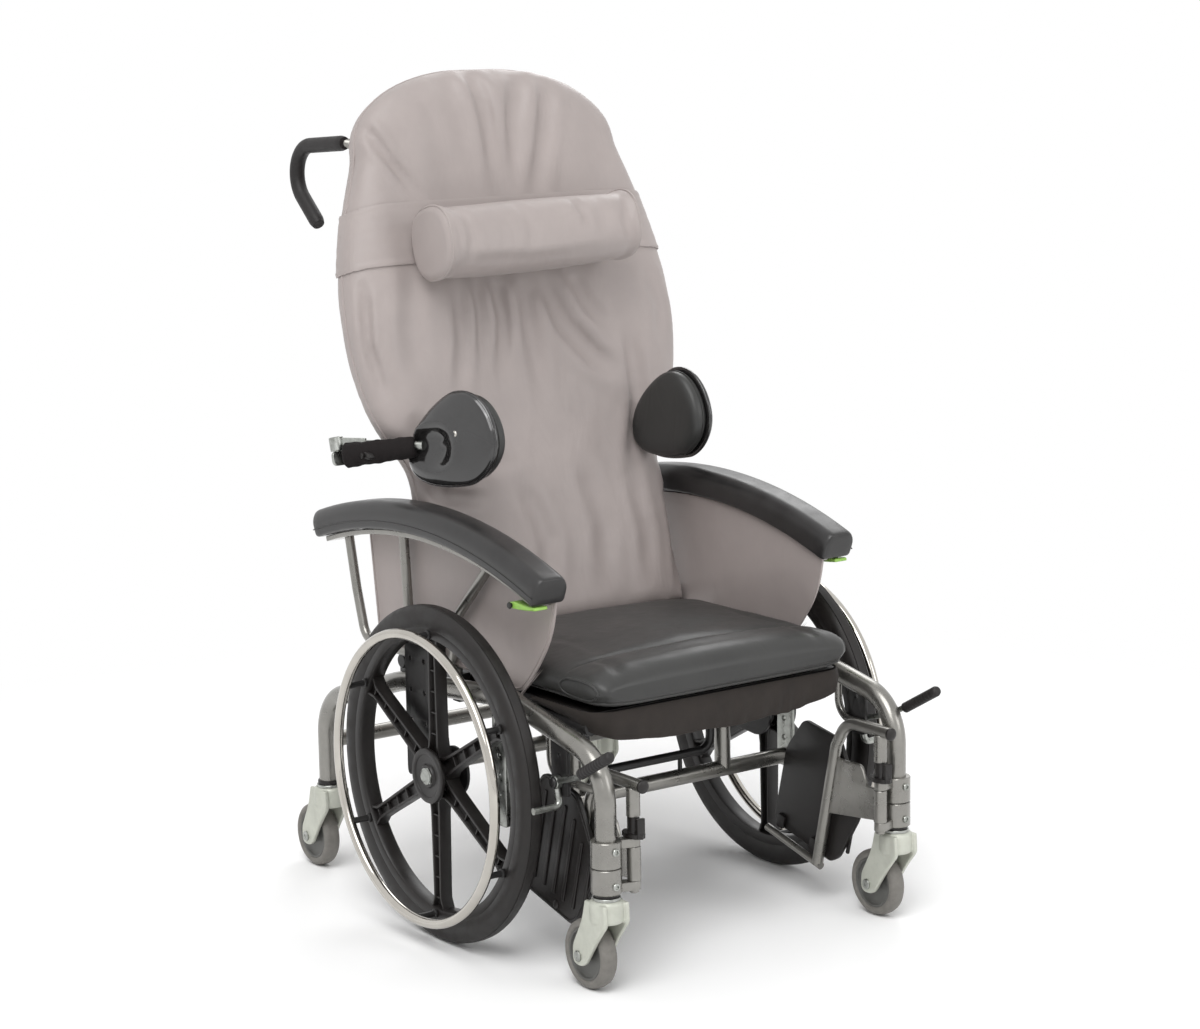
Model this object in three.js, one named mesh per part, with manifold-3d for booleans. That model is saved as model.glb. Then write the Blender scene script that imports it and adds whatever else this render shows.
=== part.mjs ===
// A tilt in space wheelchair with swing-away footrests, a reclining back and a head pillow.
// Millimetres, +Z up, the chair faces -Y, and +X is the occupant's left.
// Places are measured from the drive axle (y), the floor (z) and the middle of the seat (x).
import * as THREE from "three";
import { mergeVertices } from "three/addons/utils/BufferGeometryUtils.js";
import Module from "manifold-3d";

const wasm = await Module();
wasm.setup();

const sides = { right: -1, left: 1 };

// Clearances
const seatGap = 0.3;
const boreGap = 0.3;
const cutOverrun = 2;
const weldBite = 1.5;
const mergeDistance = 0.001;

// Side frame, a bent tube from the front caster stem over the crest to the rear caster stem
const frameTubeRadius = 15.5;
const frameHalfTrack = 269;
const frontStemY = -358;
const rearStemY = 407;
const stemFootZ = 145;
const frontShoulderZ = 336;
const crestY = -120;
const crestZ = 386;
const slopeY = 170;
const slopeZ = 358;
const rearShoulderZ = 284;
const shoulderBend = 75;
const crestBend = 150;
const slopeBend = 200;
const dropPostThickness = 8;
const dropPostWidth = 34;
const postHoleRadius = 4;
const postHolePitch = 30;
const postHoleMargin = 17;

// Crossbars of the base
const crossbarRadius = 12.5;
const frontBarY = -98;
const frontBarZ = 205;
const axleBarY = 110;
const axleBarZ = 235;
const rearBarZ = 215;
const restPostX = 142;
const restPadHeight = 16;
const stopBarRadius = 7;
const stopBarHalfWidth = 118;
const stopBarRise = 35;
const stopBarUpturn = 60;

// Drive wheels
const driveWheelRadius = 254;
const driveWheelTrack = 314;
const tyreHalfWidth = 16;
const tyreDepth = 33;
const rimDepth = 16;
const rimHalfWidth = 14;
const rimFloorShare = 0.65;
const tyreShares = [[0, 0.75], [0.33, 1], [0.67, 0.97], [1, 0.35]];
const hubCapRadius = 42;
const hubCapEdge = 2;
const hubCapRim = 5;
const hubCapBevel = 4;
const hubRadius = 26;
const hubInnerX = 22;
const hubOuterX = 24;
const axleRadius = 7.7;
const axleNutRadius = 11;
const axleNutHeight = 6;
const spokeCount = 6;
const spokeRootWidth = 26;
const spokeTipWidth = 19;
const spokeDepth = 20;
const spokeFlange = 4.5;
const spokeWeb = 5;
const handrimOffset = 46;
const handrimRadius = 216.5;
const handrimTubeRadius = 7.5;
const handrimTabRadius = 5;
const axlePlateThickness = 5;
const axlePlateFrontY = 62;
const axlePlateRearY = 130;
const axlePlateFootZ = 215;
const axlePlateTopZ = 430;
const axleLobeRadius = 38;
const plateHoleRadius = 4;
const plateHolePitch = 48;
const plateHoleInset = 15;

// Casters
const casterWheelRadius = 51;
const casterWheelHalfWidth = 14;
const casterTrail = 40.5;
const casterStemRadius = 6;
const casterStemReach = 38;
const casterHousingRadius = 25.5;
const casterCrownGap = 6;
const casterBearingRadius = 20;
const casterBearingHeight = 3.5;
const casterLegThickness = 7;
const casterLegGap = 1.6;
const casterAxleRadius = 4.7;
const casterBoltRadius = 8;
const casterBoltHeight = 3;
const casterBossRadius = 14;
const casterHousingEdge = 2;
const forkNoseReach = 31;
const forkNeckZ = 84;
const forkNeckBack = 5;
const casterWheelShares = [[0.34, 1], [0.42, 0.5], [0.72, 0.5], [0.78, 1], [1, 0.7]];

// Footrest clamps, hangers, footplates and latches
const hangerAxisX = 229;
const hangerAxisY = -369;
const clampFootZ = 150;
const clampTopZ = 226;
const clampWall = 6.5;
const clampArmHeight = 13;
const clampArmWidth = 16;
const hangerPinRadius = 5;
const hangerPinTopZ = 285;
const barrelRadius = 10;
const hangerTubeRadius = 9;
const hangerTopZ = 303;
const hangerPlugY = -391;
const hangerElbowY = -293;
const hangerKneeY = -268;
const hangerKneeZ = 262;
const hangerFootY = -222;
const hangerFootZ = 64;
const gussetThickness = 6;
const footplateThickness = 10;
const footplateOffset = 12;
const footplateRake = 14.4;
const footBarRadius = 6;
const footBarLength = 126;
const footplateCorners = [
  [-30, 22, 8], [-58, 104, 10], [-56, 128, 8], [14, 206, 12], [99, 200, 12],
  [128, 138, 14], [128, 16, 8], [118, 8, 4], [-14, 8, 6],
];
const footRibCount = 7;
const footRibFrontP = -40;
const footRibRearP = 110;
const footRibFootU = 34;
const footRibTopU = 118;
const footRibRise = 60;
const footRibWidth = 7;
const footClipLength = 16;
const footClipHeight = 22;
const footClipU = 18;
const footClipShares = [0.2, 0.85];
const latchPlateHalfLength = 22;
const latchPlateHalfWidth = 13;

// Wheel locks
const lockPivotY = -262;
const lockPivotZ = 292;
const lockPinRadius = 4;
const lockPlateThickness = 6;
const lockBossRadius = 10;
const lockRodRadius = 4.5;
const lockShoeRadius = 5;
const lockGripX = 300;
const lockGripRadius = 8;
const lockLoopRadius = 6;
const lockLoopBackY = -226;
const lockShoeDrop = 34;
const lockGripStartY = -344;
const lockGripStartZ = 323;
const lockGripEndY = -417;
const lockGripEndZ = 364;

// Tilting seat frame
const tiltPivotY = 185;
const tiltPivotZ = 385;
const pivotPinRadius = 6;
const pivotBossRadius = 18;
const lugThickness = 8;
const railX = 222;
const railRadius = 12;
const railZ = 360;
const railFrontY = -262;
const railRearY = 205;
const seatFrontBarY = -215;
const seatRearBarY = 192;
const seatBarRadius = 11;
const pivotPlateInnerX = 234.5;
const pivotPlateThickness = 5;
const armSocketX = 243;
const armSocketHalfLength = 9;
const armSocketTopZ = 388;
const armSocketFootZ = 345;
const armStemRadius = 5;
const armSocketWall = 2;
const armStemYs = [50, 115];
const panThickness = 12;
const panFrontY = -272;
const panRearY = 84;
const panHalfWidth = 228;

// Seat cushion and the apron under its front edge
const cushionFrontY = -300;
const cushionRearY = 82;
const cushionFootZ = 385;
const cushionHeight = 55;
const cushionCrown = 11;
const cushionHalfWidth = 236.4;
const cushionSideDraw = 12;
const cushionCreaseDepth = 5;
const cushionCreaseY = -205;
const bolsterRise = 6;
const cushionNoseShare = 0.55;
const cushionRearShare = 0.8;
const cushionSidePower = 0.22;
const cushionTopPower = 0.45;
const creaseEdgeShare = 0.4;
const skirtY = -284;
const skirtThickness = 3;
const skirtHalfWidth = 232;
const skirtDrop = 46;
const skirtSideDrop = 5;
const skirtFold = 4;
const skirtFolds = 5;

// Arms
const armTubeX = 262;
const armTubeRadius = 7.5;
const armRailZ = 402;
const armKneeZ = 480;
const armRearTopY = 330;
const armRearKneeY = 312;
const armRearFootY = 288;
const armFrontFootY = 38;
const armFrontKneeY = 24;
const armFrontTopY = -70;
const strutFootY = 154;
const strutTopY = 168;
const armArcRadius = 900;
const armArcGap = 0.8;
const armArcCentreY = 100;
const armArcCentreZ = -302;
const armBarThickness = 8;
const armBarInnerX = 249.5;
const armBarOuterX = 284;
const padInnerX = 239;
const padOuterX = 296;
const padDepth = 44;
const padFrontY = -232;
const padRearY = 388;
const padRound = 12;
const panelInnerX = 245;
const panelThickness = 4;
const panelFrontY = -217;
const panelRearY = 147;
const panelCorners = [[-176, 441, 20], [-139, 398, 18], [-100, 393, 14], [-60, 404, 12], [116, 404, 4]];
const armLeverY = -165;
const armLeverZ = 533;
const armLeverPinRadius = 3;
const armLeverBarrelRadius = 7;
const armLeverLength = 62;
const armLeverThickness = 7;

// Reclining back, in its own frame: x across, n to the rear, h up the back from the recline pivot
const reclinePivotY = 150;
const reclinePivotZ = 425;
const reclineRest = 14.5;
const backTubeRadius = 11;
const coverFrontN = -61.6;
const coverRearN = 16.4;
const coverFootH = -13;
const coverLowHalfWidth = 233;
const coverWideHalfWidth = 288;
const coverShoulderH = 740;
const coverShoulderHalfWidth = 232;
const coverApexH = 880;
const coverFoldDepth = 3;
const coverTopH = 876;
const coverHeightShares = [0, 0.35, 0.46, 0.53, 0.62, 0.7, 0.78, 0.9, 1];
const coverSwellShares = [0, 0, 0.45, 0.78, 1, 0.96, 0.7, 0.26, 0];
const coverSidePower = 0.33;
const coverRearPower = 0.6;
const coverFlattestShare = 0.02;
const coverLevelPower = 1.3;
const coverFolds = 6;
const hoopInset = 30;
const hoopApexH = 830;
const hoopTopN = -15;
const hoopHeights = [0, 130, 260, 360, 450, 540, 620, 690];
const hoopArchSteps = 3;
const handleX = 228;
const handleRootH = 765;
const handleReachN = 237;
const handleTopH = 816;
const handleEndN = 140;
const handleEndH = 673;
const handleBend = 47;
const handleTubeRadius = 8;
const gripRadius = 12;
const gripStartN = 32;
const gripEndWall = 6;
const pillowN = -124;
const pillowH = 586;
const pillowHalfLength = 197;
const pillowRadius = 56;
const pillowCapSwell = 5;
const pillowCapShare = 0.75;
const strapFootH = 530;
const strapTopH = 640;
const strapThickness = 3;

// Lateral supports, in the frame of the back
const lateralHingeX = 328;
const lateralBarThickness = 6;
const lateralBarFootH = 279;
const lateralBarTopH = 301;
const lateralPinRadius = 5;
const lateralBarrelRadius = 11;
const lateralBarrelHeight = 22;
const lateralArmRadius = 8;
const sleeveRadius = 17;
const shellInnerX = 197;
const shellThickness = 9;
const shellRearN = -68;
const shellLength = 160;
const shellH = 284;
const shellHalfHeight = 72;
const lateralPadDepth = 24;
const lateralPadInset = 6;
const lateralEggShares = [
  [0, 0.5], [0.485, 1], [0.62, 1], [0.845, 1], [1, 0.5], [1, -0.1],
  [1, -0.7], [0.755, -1], [0.62, -1], [0.35, -0.98], [0, -0.8], [0, -0.28],
];
const sleeveStartShare = 0.22;
const sleeveEndShare = 0.8;
const sleeveTaperShare = 0.85;
const releaseReach = 52;
const releaseDrop = 14;
const releaseThickness = 10;
const releaseWidth = 16;

// Gas springs
const springTubeRadius = 11;
const springRodRadius = 4;
const springPinRadius = 4;
const springEyeRadius = 8;
const springEarGap = 0.5;
const springEarThickness = 5;
const springNeckLength = 17.6;
const springPistonShare = 0.42;
const tiltSpringX = -40;
const tiltSpringTopY = -190;
const tiltSpringTopZ = 336;
const tiltSpringTubeShare = 0.62;
const tiltEyeSlack = 6;
const reclineSpringX = 40;
const reclineSpringFrontY = -70;
const reclineSpringFrontZ = 340;
const reclineSpringTubeShare = 0.62;
const reclineEyeSlack = 2.5;
const reclineLever = 72;

// Facets
const frameSides = 8;
const rodSides = 8;
const smallSides = 6;
const bendSteps = 3;
const wheelSegments = 24;
const hubSegments = 12;
const casterSegments = 10;
const pillowSegments = 12;
const curvePoints = 2;
const eggPoints = 3;
const arcSteps = 8;
const hoopSteps = 20;
const cushionStations = 11;
const cushionPoints = 18;
const skirtColumns = 14;
const strapLevels = 2;
const coverLevels = 10;
const coverPoints = 16;

const V = (x, y, z) => new THREE.Vector3(x, y, z);
const upward = V(0, 1, 0);

// The radius of a faceted bore that clears a round pin by the bore gap, whichever way the pin is turned.
const bored = (radius, facets = rodSides) => (radius + boreGap) / Math.cos(Math.PI / facets);

// A closed geometry as a solid, with its faces turned outwards.
function solid(geometry) {
  const bare = geometry.index ? geometry.toNonIndexed() : geometry.clone();
  bare.deleteAttribute("normal");
  bare.deleteAttribute("uv");
  const merged = mergeVertices(bare, mergeDistance);
  const kept = [];
  const index = merged.index.array;
  for (let i = 0; i < index.length; i += 3) {
    const [a, b, c] = [index[i], index[i + 1], index[i + 2]];
    if (a !== b && b !== c && c !== a) kept.push(a, b, c);
  }
  const build = (corners) => new wasm.Manifold(new wasm.Mesh({
    numProp: 3,
    vertProperties: merged.attributes.position.array,
    triVerts: new Uint32Array(corners),
  }));
  const made = build(kept);
  if (made.volume() > 0) return made;
  for (let i = 0; i < kept.length; i += 3) [kept[i + 1], kept[i + 2]] = [kept[i + 2], kept[i + 1]];
  return build(kept);
}

const join = (...pieces) => pieces.reduce((whole, piece) => whole.add(piece));
const cut = (body, ...tools) => tools.reduce((left, tool) => left.subtract(tool), body);

// A solid as a geometry that a mesh can show.
function shown(body) {
  const { numProp, vertProperties, triVerts } = body.getMesh();
  const places = new Float32Array((vertProperties.length / numProp) * 3);
  for (let i = 0; i < places.length / 3; i++) {
    places.set(vertProperties.subarray(i * numProp, i * numProp + 3), i * 3);
  }
  const geometry = new THREE.BufferGeometry();
  geometry.setAttribute("position", new THREE.BufferAttribute(places, 3));
  geometry.setIndex(new THREE.BufferAttribute(triVerts, 1));
  const facets = geometry.toNonIndexed();
  facets.computeVertexNormals();
  return facets;
}

// A box between two opposite corners.
function block(from, to) {
  const size = to.clone().sub(from);
  const geometry = new THREE.BoxGeometry(Math.abs(size.x), Math.abs(size.y), Math.abs(size.z));
  const middle = from.clone().add(to).multiplyScalar(1 / 2);
  return solid(geometry.translate(middle.x, middle.y, middle.z));
}

// A round bar between two points.
function rod(from, to, radius, facets = rodSides, endRadius = radius) {
  const along = to.clone().sub(from);
  const geometry = new THREE.CylinderGeometry(endRadius, radius, along.length(), facets);
  const turn = new THREE.Quaternion().setFromUnitVectors(upward, along.clone().normalize());
  const middle = from.clone().add(to).multiplyScalar(1 / 2);
  return solid(geometry.applyQuaternion(turn).translate(middle.x, middle.y, middle.z));
}

// Points evenly round a circle.
function ring(radius, count, across = 0, up = 0) {
  return Array.from({ length: count }, (_, i) => {
    const angle = (2 * Math.PI * i) / count;
    return new THREE.Vector2(across + radius * Math.cos(angle), up + radius * Math.sin(angle));
  });
}

// A centre line of straight runs joined by circular bends, with even stations round each bend.
class BentPath extends THREE.Curve {
  constructor(corners) {
    super();
    this.places = [];
    this.tangents = [];
    corners.forEach(([point, bend], i) => {
      if (!bend) {
        const other = corners[i ? i - 1 : 1][0];
        const along = point.clone().sub(other).normalize();
        this.addStation(point, i ? along : along.negate());
        return;
      }
      const back = corners[i - 1][0].clone().sub(point).normalize();
      const ahead = corners[i + 1][0].clone().sub(point).normalize();
      const half = back.angleTo(ahead) / 2;
      const inward = back.clone().add(ahead).normalize();
      const centre = point.clone().addScaledVector(inward, bend / Math.sin(half));
      const spoke = point.clone().addScaledVector(back, bend / Math.tan(half)).sub(centre);
      const axis = ahead.clone().cross(back).normalize();
      for (let k = 0; k <= bendSteps; k++) {
        const sweep = ((Math.PI - 2 * half) * k) / bendSteps;
        const place = spoke.clone().applyAxisAngle(axis, sweep).add(centre);
        this.addStation(place, back.clone().negate().applyAxisAngle(axis, sweep));
      }
    });
  }

  addStation(place, tangent) {
    this.places.push(place);
    this.tangents.push(tangent);
  }

  getPoint(share, target = new THREE.Vector3()) {
    return target.copy(this.places[Math.round(share * (this.places.length - 1))]);
  }

  getPointAt(share, target) {
    return this.getPoint(share, target);
  }

  getTangent(share, target = new THREE.Vector3()) {
    return target.copy(this.tangents[Math.round(share * (this.tangents.length - 1))]);
  }

  getTangentAt(share, target) {
    return this.getTangent(share, target);
  }
}

// A tube along corners given as [point, bend radius], with no bend radius at its two ends.
function tube(corners, radius, facets = rodSides) {
  const extrudePath = new BentPath(corners);
  const steps = extrudePath.places.length - 1;
  const section = new THREE.Shape(ring(radius, facets));
  return solid(new THREE.ExtrudeGeometry(section, { steps, extrudePath, bevelEnabled: false }));
}

// A tube along a smooth curve through points.
function curvedTube(points, radius, steps, facets = rodSides) {
  const extrudePath = new THREE.CatmullRomCurve3(points);
  const section = new THREE.Shape(ring(radius, facets));
  return solid(new THREE.ExtrudeGeometry(section, { steps, extrudePath, bevelEnabled: false }));
}

// An outline whose corners are given as [across, up, fillet].
function filleted(corners) {
  const shape = new THREE.Shape();
  corners.forEach(([across, up, fillet = 0], i) => {
    const corner = new THREE.Vector2(across, up);
    if (!fillet) {
      shape[i ? "lineTo" : "moveTo"](across, up);
      return;
    }
    const last = new THREE.Vector2(...corners.at(i - 1));
    const next = new THREE.Vector2(...corners.at((i + 1) % corners.length));
    const start = corner.clone().addScaledVector(last.sub(corner).normalize(), fillet);
    const end = corner.clone().addScaledVector(next.sub(corner).normalize(), fillet);
    shape[i ? "lineTo" : "moveTo"](start.x, start.y);
    shape.quadraticCurveTo(corner.x, corner.y, end.x, end.y);
  });
  return shape;
}

const pierce = (shape, across, up, radius, facets = smallSides) =>
  shape.holes.push(new THREE.Path(ring(radius, facets, across, up)));

// A plate that stands along the chair: its outline is in (y, z), and x runs from one face to the other.
function sidePlate(shape, fromX, toX, options = {}) {
  const depth = Math.abs(toX - fromX);
  const geometry = new THREE.ExtrudeGeometry(shape, {
    depth, bevelEnabled: false, curveSegments: curvePoints, ...options,
  });
  geometry.applyMatrix4(new THREE.Matrix4().makeBasis(V(0, 1, 0), V(0, 0, 1), V(1, 0, 0)));
  return solid(geometry.translate(Math.min(fromX, toX), 0, 0));
}

// A turned shape about the X axis from [radius, x] points.
function turnedAcross(profile, segments) {
  const points = profile.map(([radius, x]) => new THREE.Vector2(radius, x));
  return solid(new THREE.LatheGeometry(points, segments).rotateZ(-Math.PI / 2));
}

// A turned shape about a vertical axis from [radius, z] points.
function turnedUpright(profile, segments) {
  const points = profile.map(([radius, z]) => new THREE.Vector2(radius, z));
  return solid(new THREE.LatheGeometry(points, segments).rotateX(Math.PI / 2));
}

// A closed skin over rings of equally many points, with a flat fan over each end ring.
function lofted(rings) {
  const count = rings[0].length;
  const centres = [rings[0], rings.at(-1)].map((end) =>
    end.reduce((sum, point) => sum.add(point), V(0, 0, 0)).multiplyScalar(1 / count));
  const points = [...rings.flat(), ...centres];
  const index = [];
  const last = (rings.length - 1) * count;
  for (let i = 0; i < count; i++) {
    const next = (i + 1) % count;
    for (let row = 0; row < last; row += count) {
      index.push(row + i, row + next, row + count + i);
      index.push(row + next, row + count + next, row + count + i);
    }
    index.push(rings.length * count, next, i);
    index.push(rings.length * count + 1, last + i, last + next);
  }
  const geometry = new THREE.BufferGeometry().setFromPoints(points);
  geometry.setIndex(index);
  return solid(geometry);
}

// Where a straight side tube runs at a given y, from the corners of the side frame.
function frameTubeZ(y) {
  const corners = [
    [frontStemY, frontShoulderZ], [crestY, crestZ], [slopeY, slopeZ], [rearStemY, rearShoulderZ],
  ];
  const next = corners.findIndex(([cornerY]) => cornerY > y);
  const [[fromY, fromZ], [toY, toZ]] = [corners[next - 1], corners[next]];
  return fromZ + ((toZ - fromZ) * (y - fromY)) / (toY - fromY);
}

const tubeInnerX = frameHalfTrack - frameTubeRadius;
const tubeOuterX = frameHalfTrack + frameTubeRadius;
const postInnerX = frameHalfTrack - dropPostThickness / 2;
const lugOuterX = tubeInnerX + seatGap;
const lugInnerX = lugOuterX - lugThickness;

// The perforated flat bar that drops from the side tube to the front crossbar.
function dropPost(side) {
  const footZ = frontBarZ - postHoleMargin;
  const topZ = frameTubeZ(frontBarY) - frameTubeRadius / 2;
  const [frontY, rearY] = [frontBarY - dropPostWidth / 2, frontBarY + dropPostWidth / 2];
  const shape = filleted([
    [frontY, footZ, dropPostWidth / 4], [rearY, footZ, dropPostWidth / 4], [rearY, topZ], [frontY, topZ],
  ]);
  const firstHoleZ = frontBarZ + crossbarRadius + postHoleMargin;
  for (let z = firstHoleZ; z < topZ - postHoleMargin; z += postHolePitch) {
    pierce(shape, frontBarY, z, postHoleRadius);
  }
  return sidePlate(shape, side * postInnerX, side * (postInnerX + dropPostThickness));
}

// The lug on the side tube that the seat tilts in.
function tiltLug(side) {
  const tubeZ = frameTubeZ(tiltPivotY);
  const shape = new THREE.Shape();
  shape.moveTo(tiltPivotY - pivotBossRadius, tubeZ - frameTubeRadius / 2);
  shape.lineTo(tiltPivotY + pivotBossRadius, tubeZ - frameTubeRadius / 2);
  shape.absarc(tiltPivotY, tiltPivotZ, pivotBossRadius, 0, Math.PI, false);
  pierce(shape, tiltPivotY, tiltPivotZ, bored(pivotPinRadius), rodSides);
  const weld = block(
    V(side * lugInnerX, tiltPivotY - pivotBossRadius, tubeZ - frameTubeRadius / 2),
    V(side * frameHalfTrack, tiltPivotY + pivotBossRadius, tubeZ + frameTubeRadius / 2),
  );
  return join(sidePlate(shape, side * lugInnerX, side * lugOuterX), weld);
}

// The thin tube loop and plate under the side tube that carry the wheel lock.
function lockCarrier(side) {
  const x = side * frameHalfTrack;
  const loopTopZ = frameTubeZ(lockLoopBackY) - frameTubeRadius / 2;
  const loop = tube([
    [V(x, lockLoopBackY, loopTopZ)],
    [V(x, lockLoopBackY, lockPivotZ), 5 * lockLoopRadius],
    [V(x, frontStemY + frameTubeRadius / 2, lockPivotZ)],
  ], lockLoopRadius, rodSides);
  const faceX = frameHalfTrack + lockLoopRadius - weldBite;
  const outerX = faceX + lockPlateThickness;
  const reach = 2 * lockBossRadius;
  const plate = sidePlate(filleted([
    [lockPivotY - reach, lockPivotZ - reach, lockBossRadius],
    [lockPivotY + reach, lockPivotZ - reach, lockBossRadius],
    [lockPivotY + reach, frameTubeZ(lockPivotY), 0],
    [lockPivotY - reach, frameTubeZ(lockPivotY), 0],
  ]), side * faceX, side * outerX);
  const headX = outerX + 2 * seatGap + lockBossRadius;
  const at = (across) => V(side * across, lockPivotY, lockPivotZ);
  const pin = rod(at(faceX), at(headX), lockPinRadius);
  const head = rod(at(headX), at(headX + lockPinRadius / 2), 2 * lockPinRadius);
  return join(loop, plate, pin, head);
}

function sideFrame(side) {
  const x = side * frameHalfTrack;
  const bar = tube([
    [V(x, frontStemY, stemFootZ)],
    [V(x, frontStemY, frontShoulderZ), shoulderBend],
    [V(x, crestY, crestZ), crestBend],
    [V(x, slopeY, slopeZ), slopeBend],
    [V(x, rearStemY, rearShoulderZ), shoulderBend],
    [V(x, rearStemY, stemFootZ)],
  ], frameTubeRadius, frameSides);
  const bores = [frontStemY, rearStemY].map((y) => rod(
    V(x, y, stemFootZ - cutOverrun),
    V(x, y, stemFootZ + casterStemReach + cutOverrun), bored(casterStemRadius),
  ));
  return cut(join(bar, dropPost(side), tiltLug(side), lockCarrier(side)), ...bores);
}

const axlePlateInnerX = tubeOuterX + seatGap;
const axlePlateOuterX = axlePlateInnerX + axlePlateThickness;
const hubInnerFaceX = driveWheelTrack - hubInnerX;
const hubOuterFaceX = driveWheelTrack + hubOuterX;

// The perforated plate that holds the drive axle and the axle crossbar to the side tube.
function axlePlate(side) {
  const shape = new THREE.Shape();
  shape.moveTo(axlePlateRearY, axlePlateFootZ);
  shape.lineTo(axlePlateRearY, axlePlateTopZ);
  shape.lineTo(axlePlateFrontY, axlePlateTopZ);
  shape.lineTo(axlePlateFrontY, driveWheelRadius + axleLobeRadius);
  shape.absarc(0, driveWheelRadius, axleLobeRadius, Math.PI / 2, (3 * Math.PI) / 2, false);
  for (const y of [axlePlateFrontY + plateHoleInset, axlePlateRearY - plateHoleInset]) {
    const firstZ = axleBarZ + crossbarRadius + plateHoleInset;
    for (let z = firstZ; z < axlePlateTopZ - plateHoleInset; z += plateHolePitch) {
      pierce(shape, y, z, plateHoleRadius);
    }
  }
  const plate = sidePlate(shape, side * axlePlateInnerX, side * axlePlateOuterX);
  const across = (from, to, radius) => rod(
    V(side * from, 0, driveWheelRadius), V(side * to, 0, driveWheelRadius), radius,
  );
  const axle = across(axlePlateOuterX - weldBite, hubOuterFaceX + seatGap + weldBite, axleRadius);
  const flange = across(axlePlateOuterX - weldBite, hubInnerFaceX - seatGap, 2 * axleRadius);
  const nut = across(hubOuterFaceX + seatGap, hubOuterFaceX + seatGap + axleNutHeight, axleNutRadius);
  return join(plate, axle, flange, nut);
}

// The front crossbar, with its two seat rests and the stop bar that runs behind them.
function frontCrossbar() {
  const halfLength = postInnerX - seatGap;
  const bar = rod(V(-halfLength, frontBarY, frontBarZ), V(halfLength, frontBarY, frontBarZ), crossbarRadius);
  const padTopZ = railZ - seatBarRadius - seatGap;
  const rests = [-restPostX, restPostX].flatMap((x) => [
    rod(V(x, frontBarY, frontBarZ), V(x, frontBarY, padTopZ - restPadHeight / 2), crossbarRadius),
    rod(V(x, frontBarY, padTopZ - restPadHeight), V(x, frontBarY, padTopZ), crossbarRadius + 2 * weldBite),
  ]);
  const stopZ = frontBarZ + stopBarRise;
  const endZ = stopZ + stopBarUpturn;
  const stop = tube([
    [V(-stopBarHalfWidth, frontBarY, endZ)],
    [V(-stopBarHalfWidth, frontBarY, stopZ), 2 * stopBarRadius],
    [V(stopBarHalfWidth, frontBarY, stopZ), 2 * stopBarRadius],
    [V(stopBarHalfWidth, frontBarY, endZ)],
  ], stopBarRadius, smallSides);
  const stays = [-stopBarHalfWidth / 2, stopBarHalfWidth / 2].map((x) =>
    rod(V(x, frontBarY, frontBarZ), V(x, frontBarY, stopZ), stopBarRadius / 2, smallSides));
  return join(bar, ...rests, stop, ...stays);
}

// Two ears round a spring's eye, and the pin between them.
function springEars(x, y, z, reachTo) {
  const earX = springEyeRadius / 2 + springEarGap;
  const ears = [-1, 1].map((way) => sidePlate(filleted([
    [y - springEyeRadius, z - springEyeRadius, springEyeRadius / 2],
    [y + springEyeRadius, z - springEyeRadius, springEyeRadius / 2],
    [reachTo.y + springEyeRadius, reachTo.z],
    [reachTo.y - springEyeRadius, reachTo.z],
  ]), x + way * earX, x + way * (earX + springEarThickness)));
  const pinX = earX + springEarThickness;
  return join(...ears, rod(V(x - pinX, y, z), V(x + pinX, y, z), springPinRadius));
}

const tiltSpringFootZ = axleBarZ + crossbarRadius + 2 * springEyeRadius;

function axleCrossbar() {
  const halfLength = axlePlateInnerX - seatGap;
  const bar = rod(V(-halfLength, axleBarY, axleBarZ), V(halfLength, axleBarY, axleBarZ), crossbarRadius);
  const earX = springEyeRadius / 2 + springEarGap;
  const ears = [-1, 1].map((way) => sidePlate(filleted([
    [axleBarY - springEyeRadius, axleBarZ],
    [axleBarY + springEyeRadius, axleBarZ],
    [axleBarY + springEyeRadius, tiltSpringFootZ + springEyeRadius, springEyeRadius / 2],
    [axleBarY - springEyeRadius, tiltSpringFootZ + springEyeRadius, springEyeRadius / 2],
  ]), tiltSpringX + way * earX, tiltSpringX + way * (earX + springEarThickness)));
  const pinX = earX + springEarThickness;
  const pin = rod(
    V(tiltSpringX - pinX, axleBarY, tiltSpringFootZ),
    V(tiltSpringX + pinX, axleBarY, tiltSpringFootZ), springPinRadius,
  );
  return join(bar, ...ears, pin);
}

function rearCrossbar() {
  const end = (side) => V(side * frameHalfTrack, rearStemY, rearBarZ);
  const bar = rod(end(sides.right), end(sides.left), crossbarRadius);
  const copes = Object.values(sides).map((side) => rod(
    V(side * frameHalfTrack, rearStemY, rearBarZ - frameTubeRadius - cutOverrun),
    V(side * frameHalfTrack, rearStemY, rearBarZ + frameTubeRadius + cutOverrun),
    bored(frameTubeRadius, frameSides), frameSides,
  ));
  return cut(bar, ...copes);
}

const tyreSeatRadius = driveWheelRadius - tyreDepth;
const rimInnerRadius = tyreSeatRadius - rimDepth;

// A drive wheel is drawn about its own middle, with +x outboard.
function driveTyre() {
  const seat = tyreSeatRadius + seatGap;
  const depth = driveWheelRadius - seat;
  const inboard = tyreShares.map(([deep, wide]) => [seat + deep * depth, -wide * tyreHalfWidth]);
  const outboard = inboard.map(([radius, x]) => [radius, -x]).reverse();
  return turnedAcross([...inboard, ...outboard, inboard[0]], wheelSegments);
}

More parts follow.
